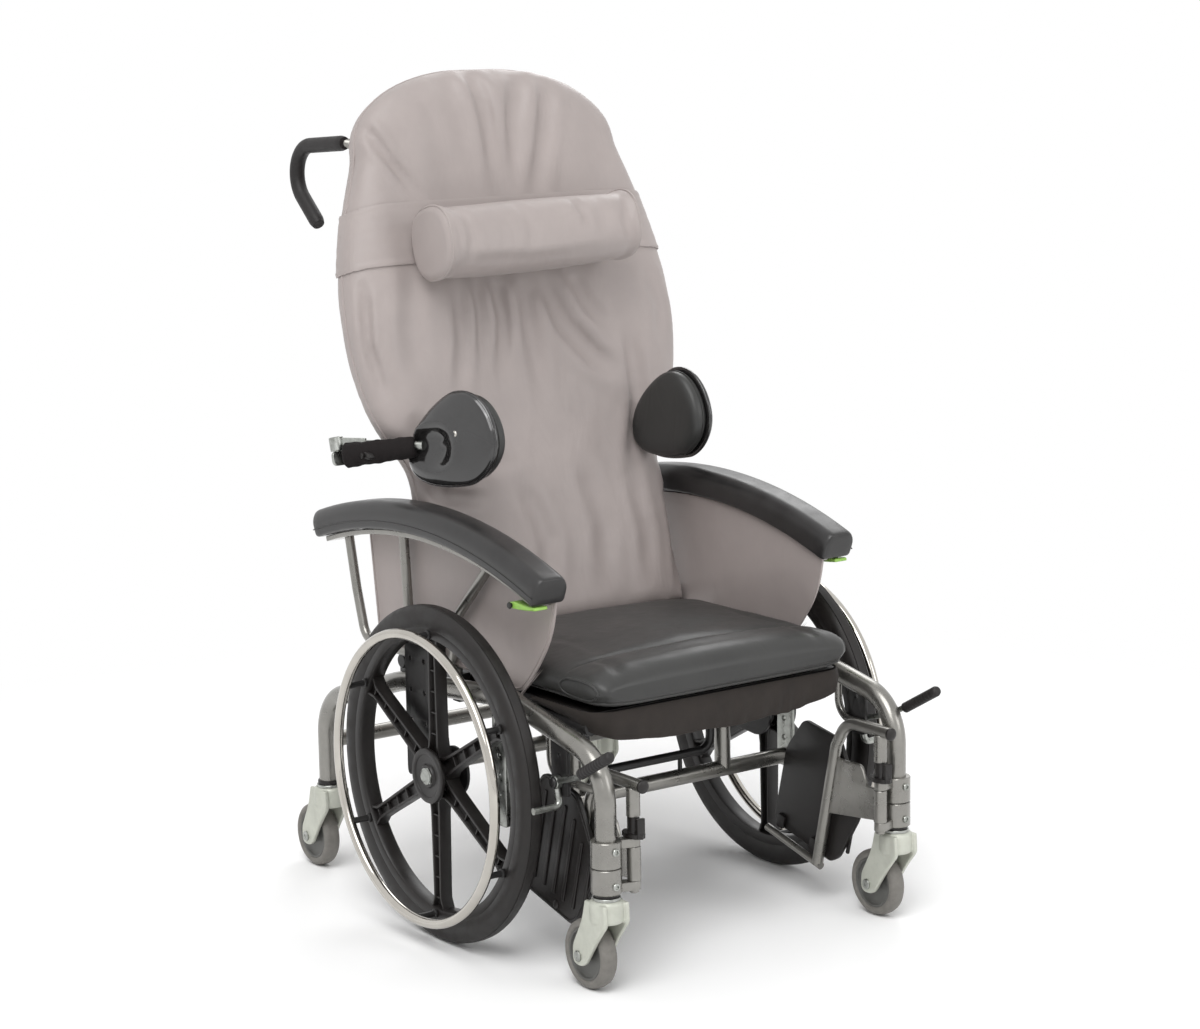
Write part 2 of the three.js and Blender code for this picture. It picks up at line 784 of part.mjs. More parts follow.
// One moulded spoke with a deep channel in its outer face, tapering to the rim.
function wheelSpoke(angle) {
  const half = spokeDepth / 2;
  const edge = spokeRootWidth / 2;
  const inside = edge - spokeFlange;
  const web = spokeWeb / 2;
  const outline = [
    [-half, -edge], [-half, edge], [half, edge], [half, inside], [web, inside], [web, -inside],
    [half, -inside], [half, -edge],
  ].map(([x, y]) => new THREE.Vector2(x, y));
  const rootRadius = hubRadius - spokeFlange;
  const depth = rimInnerRadius + weldBite - rootRadius;
  const geometry = new THREE.ExtrudeGeometry(new THREE.Shape(outline), { depth, bevelEnabled: false });
  const places = geometry.attributes.position;
  for (let i = 0; i < places.count; i++) {
    const share = places.getZ(i) / depth;
    const width = 1 + share * (spokeTipWidth / spokeRootWidth - 1);
    places.setY(i, places.getY(i) * width);
  }
  return solid(geometry.translate(0, 0, rootRadius).rotateX(angle));
}

function magWheel() {
  const rim = turnedAcross([
    [rimInnerRadius, -rimFloorShare * rimHalfWidth], [tyreSeatRadius, -rimHalfWidth],
    [tyreSeatRadius, rimHalfWidth], [rimInnerRadius, rimFloorShare * rimHalfWidth],
    [rimInnerRadius, -rimFloorShare * rimHalfWidth],
  ], wheelSegments);
  const bore = bored(axleRadius, hubSegments);
  const hub = turnedAcross([
    [bore, -hubInnerX], [hubRadius - spokeFlange, -hubInnerX], [hubRadius, -spokeDepth / 2],
    [hubRadius, spokeDepth / 2], [hubCapRadius, hubOuterX - hubCapEdge - hubCapRim],
    [hubCapRadius, hubOuterX - hubCapEdge], [hubCapRadius - hubCapBevel, hubOuterX],
    [bore, hubOuterX], [bore, -hubInnerX],
  ], hubSegments);
  const spokes = Array.from({ length: spokeCount }, (_, i) => wheelSpoke((2 * Math.PI * i) / spokeCount));
  return join(rim, hub, ...spokes);
}

function handrim() {
  const circle = ring(handrimTubeRadius, smallSides, handrimRadius, handrimOffset);
  const bar = turnedAcross([...circle, circle[0]].map((point) => [point.x, point.y]), wheelSegments);
  const tabRadius = (tyreSeatRadius + rimInnerRadius) / 2;
  const tabs = Array.from({ length: spokeCount }, (_, i) => {
    const angle = (2 * Math.PI * i) / spokeCount;
    const place = (x) => V(x, -tabRadius * Math.sin(angle), tabRadius * Math.cos(angle));
    return rod(place(rimHalfWidth + seatGap), place(handrimOffset), handrimTabRadius, 4);
  });
  return join(bar, ...tabs);
}

// A caster is drawn about its swivel axis, from the floor up, trailing towards +y.
function casterFork() {
  const crownZ = 2 * casterWheelRadius + casterCrownGap;
  const topZ = stemFootZ - seatGap;
  const ringZ = topZ - casterBearingHeight;
  const stemTopZ = stemFootZ + casterStemReach;
  const housing = turnedUpright([
    [0, crownZ], [casterHousingRadius - casterHousingEdge, crownZ],
    [casterHousingRadius, ringZ - casterBearingHeight],
    [casterBearingRadius, ringZ], [casterBearingRadius, topZ], [casterStemRadius, topZ],
    [casterStemRadius, stemTopZ], [0, stemTopZ],
  ], casterSegments);
  const boss = [casterTrail, casterWheelRadius];
  const shape = filleted([
    [casterHousingRadius - casterHousingEdge, ringZ - casterBearingHeight],
    [forkNoseReach, crownZ, casterBossRadius],
    [boss[0] + casterBossRadius, boss[1] + casterBossRadius, casterBossRadius / 2],
    [boss[0] + casterBossRadius, boss[1] - casterBossRadius, casterBossRadius - weldBite],
    [boss[0] - casterBossRadius, boss[1] - casterBossRadius, casterBossRadius - weldBite],
    [-forkNeckBack, forkNeckZ, 2 * casterBossRadius],
    [-casterHousingRadius, crownZ, casterBossRadius / 2],
    [casterHousingEdge - casterHousingRadius, ringZ - casterBearingHeight],
  ]);
  const innerX = casterWheelHalfWidth + casterLegGap;
  const outerX = innerX + casterLegThickness;
  const legs = [-1, 1].map((way) => sidePlate(shape, way * innerX, way * outerX));
  const pin = rod(V(-outerX, ...boss), V(outerX, ...boss), casterAxleRadius, smallSides);
  const bolts = [-1, 1].map((way) => rod(
    V(way * (outerX - weldBite), ...boss), V(way * (outerX + casterBoltHeight), ...boss),
    casterBoltRadius, smallSides,
  ));
  return join(housing, ...legs, pin, ...bolts);
}

// A caster wheel about its own middle.
function casterWheel() {
  const bore = [bored(casterAxleRadius, casterSegments), -casterWheelHalfWidth];
  const face = casterWheelShares.map(([out, wide]) =>
    [out * casterWheelRadius, -wide * casterWheelHalfWidth]);
  const near = [bore, ...face];
  const far = near.map(([radius, x]) => [radius, -x]).reverse();
  return turnedAcross([...near, ...far, bore], casterSegments);
}

// The clamp round the front stem, with two arms and the upright pin that the footrest hangs on.
function footrestClamp(side) {
  const stem = (z) => V(side * frameHalfTrack, frontStemY, z);
  const axis = (z) => V(side * hangerAxisX, hangerAxisY, z);
  const collarRadius = frameTubeRadius + seatGap + clampWall;
  const collar = rod(stem(clampFootZ), stem(clampTopZ), collarRadius, frameSides);
  const arms = [clampFootZ, clampTopZ - clampArmHeight].flatMap((z) => {
    const shape = new THREE.Shape(ring(barrelRadius, rodSides));
    const reach = stem(z).distanceTo(axis(z));
    const half = clampArmWidth / 2;
    const outline = filleted([[0, -half], [reach, -half], [reach, half], [0, half]]);
    const slab = solid(new THREE.ExtrudeGeometry(
      outline, { depth: clampArmHeight, bevelEnabled: false },
    ).rotateZ(Math.atan2(frontStemY - hangerAxisY, side * (frameHalfTrack - hangerAxisX)))
      .translate(side * hangerAxisX, hangerAxisY, z));
    const boss = solid(new THREE.ExtrudeGeometry(shape, { depth: clampArmHeight, bevelEnabled: false })
      .translate(side * hangerAxisX, hangerAxisY, z));
    return [slab, boss];
  });
  const pin = rod(axis(clampFootZ), axis(hangerPinTopZ), hangerPinRadius);
  const bolts = [clampFootZ, clampTopZ].map((z, i) => {
    const boltZ = z + (i ? -1 : 1) * clampArmHeight;
    const reach = collarRadius + 2 * weldBite;
    return rod(
      V(side * frameHalfTrack, frontStemY, boltZ),
      V(side * frameHalfTrack, frontStemY - reach, boltZ), clampWall / 2 + weldBite, smallSides,
    );
  });
  const bore = rod(
    stem(clampFootZ - cutOverrun), stem(clampTopZ + cutOverrun),
    bored(frameTubeRadius, frameSides), frameSides,
  );
  return join(cut(join(collar, ...arms, ...bolts), bore), pin);
}

const latchFootZ = clampTopZ + seatGap;
const latchTopZ = hangerTopZ - hangerTubeRadius - 3 * clampArmHeight + 2 * seatGap;

// The hanger: a bent tube with a plug in its top end, its two hinge barrels and the gusset between.
function footrestHanger(side) {
  const x = side * hangerAxisX;
  const axis = (z) => V(x, hangerAxisY, z);
  const bar = tube([
    [V(x, hangerPlugY, hangerTopZ)],
    [V(x, hangerElbowY, hangerTopZ), hangerTopZ - hangerKneeZ],
    [V(x, hangerKneeY, hangerKneeZ), 3 * hangerTubeRadius],
    [V(x, hangerFootY, hangerFootZ)],
  ], hangerTubeRadius, rodSides);
  const lowFootZ = clampFootZ + clampArmHeight + seatGap;
  const lowTopZ = clampTopZ - clampArmHeight - seatGap;
  const highFootZ = latchTopZ + seatGap;
  const barrels = [
    rod(axis(lowFootZ), axis(lowTopZ), barrelRadius),
    rod(axis(highFootZ), axis(hangerTopZ - hangerTubeRadius / 2), barrelRadius),
  ];
  const clear = latchPlateHalfLength + clampWall;
  const slope = (hangerFootY - hangerKneeY) / (hangerKneeZ - hangerFootZ);
  const tubeY = (z) => hangerKneeY + slope * (hangerKneeZ - z);
  const gusset = sidePlate(filleted([
    [hangerAxisY + hangerPinRadius, lowFootZ],
    [hangerAxisY + clampArmWidth, lowFootZ],
    [tubeY(lowFootZ), lowFootZ - clampArmHeight],
    [tubeY(highFootZ - clampArmHeight), highFootZ - clampArmHeight],
    [hangerAxisY + clear, highFootZ - clampArmHeight, clampWall],
    [hangerAxisY + clear, lowTopZ, 0],
    [hangerAxisY + hangerPinRadius, lowTopZ],
  ]), x - gussetThickness / 2, x + gussetThickness / 2);
  const bore = rod(axis(lowFootZ - cutOverrun), axis(hangerPinTopZ + cutOverrun / 2), bored(hangerPinRadius));
  const rake = THREE.MathUtils.degToRad(footplateRake);
  const footAt = (p) => V(
    x, hangerFootY + p * Math.cos(rake), hangerFootZ + p * Math.sin(rake),
  );
  const foot = rod(footAt(-hangerTubeRadius), footAt(footBarLength), footBarRadius);
  return join(cut(join(bar, ...barrels, gusset), bore), foot);
}

// The footplate, folded up beside the hanger: p runs to the rear and u up the plate.
function footplate(side) {
  const rib = footplateThickness / 4;
  const depth = footplateThickness - rib;
  const outline = filleted(footplateCorners);
  const pieces = [solid(new THREE.ExtrudeGeometry(outline, {
    depth, bevelEnabled: false, curveSegments: curvePoints,
  }))];
  for (let i = 0; i < footRibCount; i++) {
    const p = footRibFrontP + ((footRibRearP - footRibFrontP) * i) / (footRibCount - 1);
    const height = footRibTopU - footRibFootU + Math.min(p - footRibFrontP, footRibRise);
    pieces.push(solid(new THREE.BoxGeometry(footRibWidth, height, 2 * rib)
      .translate(p, footRibFootU + height / 2, side > 0 ? depth : 0)));
  }
  const clipDepth = footplateOffset - footBarRadius;
  const clipMiddle = clipDepth / 2 - seatGap;
  for (const share of footClipShares) {
    pieces.push(solid(new THREE.BoxGeometry(footClipLength, footClipHeight, clipDepth)
      .translate(share * footBarLength, footClipU, side > 0 ? -clipMiddle : depth + clipMiddle)));
  }
  return join(...pieces);
}

// The swing-away latch round the hinge pin: an oval plate, a collar and an upturned thumb tab.
function footrestLatch(side) {
  const plateFootZ = latchFootZ + seatGap;
  const plateTopZ = plateFootZ + clampWall;
  const oval = new THREE.Shape();
  oval.absellipse(0, 0, latchPlateHalfWidth, latchPlateHalfLength, 0, 2 * Math.PI);
  const plate = solid(new THREE.ExtrudeGeometry(oval, {
    depth: plateTopZ - plateFootZ, bevelEnabled: false, curveSegments: 2 * curvePoints,
  }).translate(side * hangerAxisX, hangerAxisY, plateFootZ));
  const axis = (z) => V(side * hangerAxisX, hangerAxisY, z);
  const collar = rod(axis(latchFootZ), axis(latchTopZ), bored(hangerPinRadius) + clampWall / 2);
  const tabY = hangerAxisY - latchPlateHalfLength + clampWall;
  const tab = block(
    V(side * hangerAxisX - latchPlateHalfWidth / 2, tabY - clampWall / 2, plateFootZ),
    V(side * hangerAxisX + latchPlateHalfWidth / 2, tabY + clampWall / 4, latchTopZ),
  );
  const bore = rod(axis(latchFootZ - cutOverrun), axis(latchTopZ + cutOverrun), bored(hangerPinRadius));
  return cut(join(plate, collar, tab), bore);
}

const lockLeverInnerX = frameHalfTrack + lockLoopRadius - weldBite + lockPlateThickness + seatGap;

// The wheel lock lever: a boss on its pin, a bent shoe before the tyre and a hand grip.
function wheelLockLever(side) {
  const at = (x, y, z) => V(side * x, y, z);
  const bossX = lockLeverInnerX + lockBossRadius;
  const middleX = lockLeverInnerX + lockBossRadius / 2;
  const pivot = (x) => at(x, lockPivotY, lockPivotZ);
  const boss = rod(pivot(lockLeverInnerX), pivot(bossX), lockBossRadius);
  const shoeY = -Math.sqrt(driveWheelRadius ** 2 - (2 * lockShoeRadius) ** 2) - 3 * lockShoeRadius;
  const shoeZ = lockPivotZ - lockShoeDrop;
  const shoe = tube([
    [at(middleX, lockPivotY, lockPivotZ - lockBossRadius / 2)],
    [at(middleX, shoeY, shoeZ), 2 * lockRodRadius],
    [at(driveWheelTrack + tyreHalfWidth, shoeY, shoeZ)],
  ], lockShoeRadius, smallSides);
  const gripStart = at(lockGripX, lockGripStartY, lockGripStartZ);
  const gripEnd = at(lockGripX, lockGripEndY, lockGripEndZ);
  const arm = rod(at(middleX, lockPivotY - lockBossRadius / 2, lockPivotZ), gripStart, lockRodRadius);
  const grip = rod(gripStart, gripEnd, lockGripRadius);
  const bore = rod(
    pivot(lockLeverInnerX - cutOverrun), pivot(bossX + cutOverrun), bored(lockPinRadius),
  );
  return cut(join(boss, shoe, arm, grip), bore);
}

const pivotPlateOuterX = pivotPlateInnerX + pivotPlateThickness;

// The seat frame: two rails, three cross members, the pivot plates, arm sockets and spring ears.
function seatFrame() {
  const pieces = [];
  for (const y of [seatFrontBarY, frontBarY, seatRearBarY]) {
    pieces.push(rod(V(-railX, y, railZ), V(railX, y, railZ), seatBarRadius));
  }
  const pockets = [];
  for (const side of Object.values(sides)) {
    pieces.push(rod(V(side * railX, railFrontY, railZ), V(side * railX, railRearY, railZ), railRadius));
    const shape = new THREE.Shape();
    const footZ = railZ - railRadius / 2;
    shape.moveTo(reclinePivotY - pivotBossRadius, footZ);
    shape.lineTo(tiltPivotY + pivotBossRadius, footZ);
    shape.absarc(tiltPivotY, tiltPivotZ, pivotBossRadius, 0, Math.PI / 4, false);
    shape.absarc(reclinePivotY, reclinePivotZ, pivotBossRadius, Math.PI / 4, Math.PI, false);
    pierce(shape, reclinePivotY, reclinePivotZ, bored(pivotPinRadius), rodSides);
    pieces.push(sidePlate(shape, side * pivotPlateInnerX, side * pivotPlateOuterX));
    pieces.push(block(
      V(side * railX, reclinePivotY - pivotBossRadius, footZ),
      V(side * pivotPlateOuterX, tiltPivotY + pivotBossRadius, railZ + railRadius / 2),
    ));
    pieces.push(rod(
      V(side * pivotPlateInnerX, tiltPivotY, tiltPivotZ),
      V(side * (lugOuterX + weldBite), tiltPivotY, tiltPivotZ), pivotPinRadius,
    ));
    const outerX = armSocketX + armStemRadius + armSocketWall;
    const shoulderZ = armSocketTopZ - 2 * panThickness;
    for (const y of armStemYs) {
      const [frontY, rearY] = [y - armSocketHalfLength, y + armSocketHalfLength];
      pieces.push(block(V(side * railX, frontY, armSocketFootZ), V(side * outerX, rearY, shoulderZ)));
      pieces.push(block(
        V(side * (panHalfWidth + armSocketWall), frontY, armSocketFootZ),
        V(side * outerX, rearY, armSocketTopZ),
      ));
      pockets.push(rod(
        V(side * armSocketX, y, armSocketFootZ - cutOverrun),
        V(side * armSocketX, y, armSocketTopZ + cutOverrun), bored(armStemRadius, smallSides), smallSides,
      ));
    }
  }
  pieces.push(springEars(
    tiltSpringX, tiltSpringTopY, tiltSpringTopZ, { y: seatFrontBarY + seatBarRadius, z: railZ },
  ));
  pieces.push(springEars(
    reclineSpringX, reclineSpringFrontY, reclineSpringFrontZ, { y: frontBarY + seatBarRadius, z: railZ },
  ));
  return cut(join(...pieces), ...pockets);
}

function seatPan() {
  const topZ = cushionFootZ - seatGap;
  const footZ = railZ + railRadius + seatGap;
  const shape = filleted([
    [-panHalfWidth, panFrontY, panThickness], [panHalfWidth, panFrontY, panThickness],
    [panHalfWidth, panRearY, panThickness], [-panHalfWidth, panRearY, panThickness],
  ]);
  return solid(new THREE.ExtrudeGeometry(shape, {
    depth: topZ - footZ, bevelEnabled: false, curveSegments: curvePoints,
  }).translate(0, 0, footZ));
}

// The seat cushion: a crowned pad with drawn-in sides, a rolled front edge and a crease behind it.
function seatCushion() {
  const rings = [];
  for (let i = 0; i <= cushionStations; i++) {
    const share = (1 - Math.cos((Math.PI * i) / cushionStations)) / 2;
    const y = cushionFrontY + (cushionRearY - cushionFrontY) * share;
    const endShare = Math.min(y - cushionFrontY, cushionRearShare * (cushionRearY - y)) / (cushionHeight / 2);
    const nose = Math.sqrt(Math.max(0, 1 - (1 - Math.min(1, endShare)) ** 2));
    const swell = cushionNoseShare + (1 - cushionNoseShare) * nose;
    const crease = cushionCreaseDepth * Math.exp(-(((y - cushionCreaseY) / (cushionHeight / 4)) ** 2));
    const bolster = y < cushionCreaseY ? bolsterRise * nose : 0;
    const halfWidth = cushionHalfWidth - (cushionHeight / 4) * (1 - nose);
    const height = (cushionHeight + bolster) * swell;
    const crown = cushionCrown * nose;
    const middleZ = cushionFootZ + cushionHeight / 2;
    rings.push(Array.from({ length: cushionPoints }, (_, k) => {
      const angle = (2 * Math.PI * k) / cushionPoints;
      const [c, s] = [Math.cos(angle), Math.sin(angle)];
      const x = Math.sign(c) * Math.abs(c) ** cushionSidePower * halfWidth;
      const up = Math.sign(s) * Math.abs(s) ** cushionTopPower;
      const across = 1 - (x / halfWidth) ** 2;
      const draw = cushionSideDraw * (up < 0 ? -up : 0);
      const dip = crease * (creaseEdgeShare + (1 - creaseEdgeShare) * across);
      const top = up > 0 ? (crown * across - dip) * up : 0;
      const z = up < 0 ? middleZ + (up * cushionHeight * swell) / 2 : middleZ + (up * height) / 2 + top;
      return V(x * (1 - draw / halfWidth), y, z);
    }));
  }
  return lofted(rings);
}

// The apron under the front edge of the cushion, deepest in the middle, hanging in shallow folds.
function seatSkirt() {
  const rings = [];
  for (let i = 0; i <= skirtColumns; i++) {
    const share = (2 * i) / skirtColumns - 1;
    const x = share * skirtHalfWidth;
    const drop = skirtSideDrop + (skirtDrop - skirtSideDrop) * (1 - share ** 2);
    const topZ = cushionFootZ - seatGap;
    const fold = (down) => skirtFold * down * Math.sin(skirtFolds * Math.PI * share);
    const row = (down, back) => V(x, skirtY + fold(down) + back * skirtThickness, topZ - down * drop);
    rings.push([row(0, 0), row(1 / 2, 0), row(1, 0), row(1, 1), row(1 / 2, 1), row(0, 1)]);
  }
  return lofted(rings);
}

const arcZ = (y, radius) => armArcCentreZ + Math.sqrt(radius ** 2 - (y - armArcCentreY) ** 2);

// A strip between two arcs about the centre of the arm's curve, from one y to another.
function arcStrip(frontY, rearY, lowRadius, highRadius) {
  const shape = new THREE.Shape();
  const angleOf = (y, radius) => Math.acos((y - armArcCentreY) / radius);
  const points = [];
  for (const [radius, way] of [[lowRadius, 1], [highRadius, -1]]) {
    const from = angleOf(way > 0 ? frontY : rearY, radius);
    const to = angleOf(way > 0 ? rearY : frontY, radius);
    for (let i = 0; i <= arcSteps; i++) {
      const angle = from + ((to - from) * i) / arcSteps;
      points.push(new THREE.Vector2(
        armArcCentreY + radius * Math.cos(angle), armArcCentreZ + radius * Math.sin(angle),
      ));
    }
  }
  shape.setFromPoints(points);
  return shape;
}

const armBarLowRadius = armArcRadius - armArcGap - armBarThickness;
const armBarHighRadius = armArcRadius - armArcGap;

// The arm: a bent tube, a middle strut, the curved flat bar under the pad and two stems.
function armFrame(side) {
  const x = side * armTubeX;
  const into = armBarLowRadius + seatGap;
  const bend = 4 * armTubeRadius;
  const bow = tube([
    [V(x, armRearTopY, arcZ(armRearTopY, into))],
    [V(x, armRearKneeY, armKneeZ), bend],
    [V(x, armRearFootY, armRailZ), bend],
    [V(x, armFrontFootY, armRailZ), bend],
    [V(x, armFrontKneeY, armKneeZ), bend],
    [V(x, armFrontTopY, arcZ(armFrontTopY, into))],
  ], armTubeRadius, smallSides);
  const strut = rod(
    V(x, strutFootY, armRailZ), V(x, strutTopY, arcZ(strutTopY, into)), armTubeRadius, smallSides,
  );
  const bar = sidePlate(
    arcStrip(padFrontY + 2 * padRound, padRearY - 2 * padRound, armBarLowRadius, armBarHighRadius),
    side * armBarInnerX, side * armBarOuterX,
  );
  const stems = armStemYs.flatMap((y) => [
    block(
      V(side * (armSocketX - armStemRadius), y - armStemRadius, armRailZ - armTubeRadius),
      V(x, y + armStemRadius, armRailZ + seatGap),
    ),
    rod(
      V(side * armSocketX, y, armRailZ), V(side * armSocketX, y, armSocketFootZ + armStemRadius),
      armStemRadius,
    ),
  ]);
  const [innerX, outerX] = [armTubeX - armLeverPinRadius, armTubeX + armLeverPinRadius];
  const lug = block(
    V(side * innerX, armLeverY - armLeverBarrelRadius, armLeverZ - armLeverBarrelRadius),
    V(side * outerX, armLeverY + armLeverBarrelRadius, arcZ(armLeverY, into)),
  );
  const pinEnd = V(side * (padOuterX - armLeverPinRadius), armLeverY, armLeverZ);
  const pin = rod(V(x, armLeverY, armLeverZ), pinEnd, armLeverPinRadius);
  return join(bow, strut, bar, ...stems, lug, pin);
}

// The arm pad, rounded all over, bowed along its length.
function armPad(side) {
  const [low, high] = [armArcRadius + padRound, armArcRadius + padDepth - padRound];
  const shape = arcStrip(padFrontY + padRound, padRearY - padRound, low, high);
  const inner = padInnerX + padRound;
  const outer = padOuterX - padRound;
  return sidePlate(shape, side * inner, side * outer, {
    bevelEnabled: true, bevelThickness: padRound, bevelSize: padRound, bevelSegments: 2,
  });
}

// The thin panel between the cushion and the arm, from the rail up to the bar under the pad.
function sidePanel(side) {
  const arcTop = armArcRadius - armArcGap;
  const corners = [...panelCorners, [panelRearY, arcZ(panelRearY, arcTop)]];
  for (let i = 1; i <= arcSteps; i++) {
    const y = panelRearY + ((panelFrontY - panelRearY) * i) / arcSteps;
    corners.push([y, arcZ(y, arcTop)]);
  }
  return sidePlate(filleted(corners), side * panelInnerX, side * (panelInnerX + panelThickness));
}

// The finger lever under the front of the pad.
function armLever(side) {
  const innerX = armTubeX + armLeverPinRadius + seatGap;
  const outerX = padOuterX - armLeverPinRadius - seatGap;
  const barrel = rod(
    V(side * innerX, armLeverY, armLeverZ), V(side * outerX, armLeverY, armLeverZ), armLeverBarrelRadius,
  );
  const paddle = sidePlate(filleted([
    [armLeverY, armLeverZ - armLeverThickness, 0],
    [armLeverY, armLeverZ - seatGap, 0],
    [armLeverY - armLeverLength, armLeverZ - armLeverThickness / 2, armLeverThickness / 3],
    [armLeverY - armLeverLength, armLeverZ - 2 * armLeverThickness, armLeverThickness / 3],
  ]), side * innerX, side * outerX);
  const bore = rod(
    V(side * (innerX - cutOverrun), armLeverY, armLeverZ),
    V(side * (outerX + cutOverrun), armLeverY, armLeverZ), bored(armLeverPinRadius),
  );
  return cut(join(barrel, paddle), bore);
}

// Half the width of the back cover at a height up the back.
function coverHalfWidth(h) {
  if (h > coverShoulderH) {
    const share = Math.min(1, (h - coverShoulderH) / (coverApexH - coverShoulderH));
    return coverShoulderHalfWidth * Math.sqrt(1 - share ** 2);
  }
  const share = Math.max(0, h) / coverShoulderH;
  const next = Math.max(1, coverHeightShares.findIndex((stop) => stop >= share));
  const [from, to] = [coverHeightShares[next - 1], coverHeightShares[next]];
  const eased = THREE.MathUtils.smoothstep(share, from, to);
  const swell = THREE.MathUtils.lerp(coverSwellShares[next - 1], coverSwellShares[next], eased);
  return coverLowHalfWidth + (coverWideHalfWidth - coverLowHalfWidth) * swell;
}

// One closed section of the cover at a height, grown by a margin all round.
function coverSection(h, margin, folds) {
  const crest = Math.max(0, (h - coverShoulderH) / (coverApexH - coverShoulderH));
  const thin = Math.sqrt(Math.max(coverFlattestShare, 1 - crest ** 4));
  const middle = (coverFrontN + coverRearN) / 2;
  const halfDepth = ((coverRearN - coverFrontN) / 2) * thin + margin;
  const halfWidth = coverHalfWidth(h) + margin;
  return Array.from({ length: coverPoints }, (_, k) => {
    const angle = (Math.PI * (2 * k + 1)) / coverPoints;
    const [c, s] = [Math.cos(angle), Math.sin(angle)];
    const power = s > 0 ? coverSidePower : coverRearPower;
    const x = Math.sign(c) * Math.abs(c) ** coverSidePower * halfWidth;
    const wave = s < 0 ? folds * Math.cos((coverFolds * Math.PI * x) / coverWideHalfWidth) * (1 - crest) : 0;
    return V(x, middle + Math.sign(s) * Math.abs(s) ** power * halfDepth + wave, h);
  });
}

function coverLoft(footH, topH, margin, folds, levels) {
  return lofted(Array.from({ length: levels + 1 }, (_, i) => {
    const share = i / levels;
    return coverSection(footH + (topH - footH) * (1 - (1 - share) ** coverLevelPower), margin, folds);
  }));
}

const backCover = () =>
  cut(coverLoft(coverFootH, coverTopH, 0, coverFoldDepth, coverLevels), backFrame(seatGap));

// The back frame, swollen by a margin where it serves to hollow the cover.
function backFrame(margin) {
  const radius = backTubeRadius + margin;
  const hoopX = (h) => coverHalfWidth(h) - hoopInset;
  const archX = coverShoulderHalfWidth - hoopInset;
  const half = [];
  for (const h of hoopHeights) half.push(V(hoopX(h), 0, h));
  for (let i = 0; i < hoopArchSteps; i++) {
    const turn = (Math.PI * i) / (2 * hoopArchSteps);
    const h = coverShoulderH + (hoopApexH - coverShoulderH) * Math.sin(turn);
    half.push(V(archX * Math.cos(turn), hoopTopN * Math.sin(turn), h));
  }
  const other = half.map((point) => V(-point.x, point.y, point.z)).reverse();
  const pieces = [curvedTube([...half, V(0, hoopTopN, hoopApexH), ...other], radius, hoopSteps, smallSides)];
  const foot = hoopX(0);
  pieces.push(rod(V(-foot, 0, 0), V(foot, 0, 0), radius, smallSides));
  for (const side of Object.values(sides)) {
    const pivotEnd = V(side * (pivotPlateOuterX + weldBite), 0, 0);
    pieces.push(rod(V(side * foot, 0, 0), pivotEnd, pivotPinRadius + margin));
    pieces.push(pushHandle(side, margin));
    const [barFootH, barTopH] = [lateralBarFootH - margin, lateralBarTopH + margin];
    const barN = coverRearN + 2 * seatGap;
    pieces.push(block(
      V(side * (foot - margin), barN - margin, barFootH),
      V(side * (lateralHingeX + lateralBarrelRadius), barN + lateralBarThickness, barTopH),
    ));
    pieces.push(block(
      V(side * (foot - backTubeRadius / 2 - margin), 0, barFootH),
      V(side * (foot + backTubeRadius / 2 + margin), barN + seatGap, barTopH),
    ));
    if (!margin) {
      pieces.push(rod(
        V(side * lateralHingeX, coverRearN + lateralBarThickness / 2, lateralBarTopH - weldBite),
        V(side * lateralHingeX, coverRearN + lateralBarThickness / 2, lateralBarTopH + lateralBarrelHeight),
        lateralPinRadius,
      ));
    }
  }
  const leverHalf = springEyeRadius / 2;
  const down = reclineLever;
  const lean = THREE.MathUtils.degToRad(reclineRest);
  const leverTip = V(reclineSpringX, down * Math.sin(lean), -down * Math.cos(lean));
  for (const way of [-1, 1]) {
    const innerX = leverHalf + springEarGap - margin;
    const outerX = leverHalf + springEarGap + springEarThickness + margin;
    pieces.push(sidePlate(filleted([
      [-backTubeRadius / 2 - margin, 0], [backTubeRadius / 2 + margin, 0],
      [leverTip.y + springEyeRadius + margin, leverTip.z - springEyeRadius, springEyeRadius / 2],
      [leverTip.y - springEyeRadius - margin, leverTip.z - springEyeRadius, springEyeRadius / 2],
    ]), reclineSpringX + way * innerX, reclineSpringX + way * outerX));
  }
  const pinX = leverHalf + springEarGap + springEarThickness;
  pieces.push(rod(
    V(reclineSpringX - pinX, leverTip.y, leverTip.z), V(reclineSpringX + pinX, leverTip.y, leverTip.z),
    springPinRadius,
  ));
  return join(...pieces);
}

// The push handle's tube, from the hoop to its end, grown by a margin where it serves as a cutter.
function pushHandle(side, margin) {
  const rootX = coverShoulderHalfWidth - hoopInset - backTubeRadius;
  const reach = V(0, handleEndN - handleReachN, handleEndH - handleTopH).normalize().multiplyScalar(margin);
  return tube([
    [V(side * rootX, 0, handleRootH)],
    [V(side * handleX, 2.5 * backTubeRadius, handleRootH + backTubeRadius), handleTubeRadius * 2],
    [V(side * handleX, handleReachN, handleTopH), handleBend],
    [V(side * handleX, handleEndN, handleEndH).add(reach)],
  ], handleTubeRadius + margin, rodSides);
}

function pushGrip(side) {
  const corners = (endInset) => {
    const back = V(0, handleEndN - handleReachN, handleEndH - handleTopH).normalize();
    const slope = (handleTopH - handleRootH - backTubeRadius) / (handleReachN - 2.5 * backTubeRadius);
    const startH = handleTopH - (handleReachN - gripStartN) * slope;
    return [
      [V(side * handleX, gripStartN, startH)],
      [V(side * handleX, handleReachN, handleTopH), handleBend],
      [V(side * handleX, handleEndN, handleEndH).addScaledVector(back, endInset)],
    ];
  };
  const sleeve = tube(corners(gripEndWall + seatGap), gripRadius, rodSides);
  return cut(sleeve, pushHandle(side, boreGap));
}

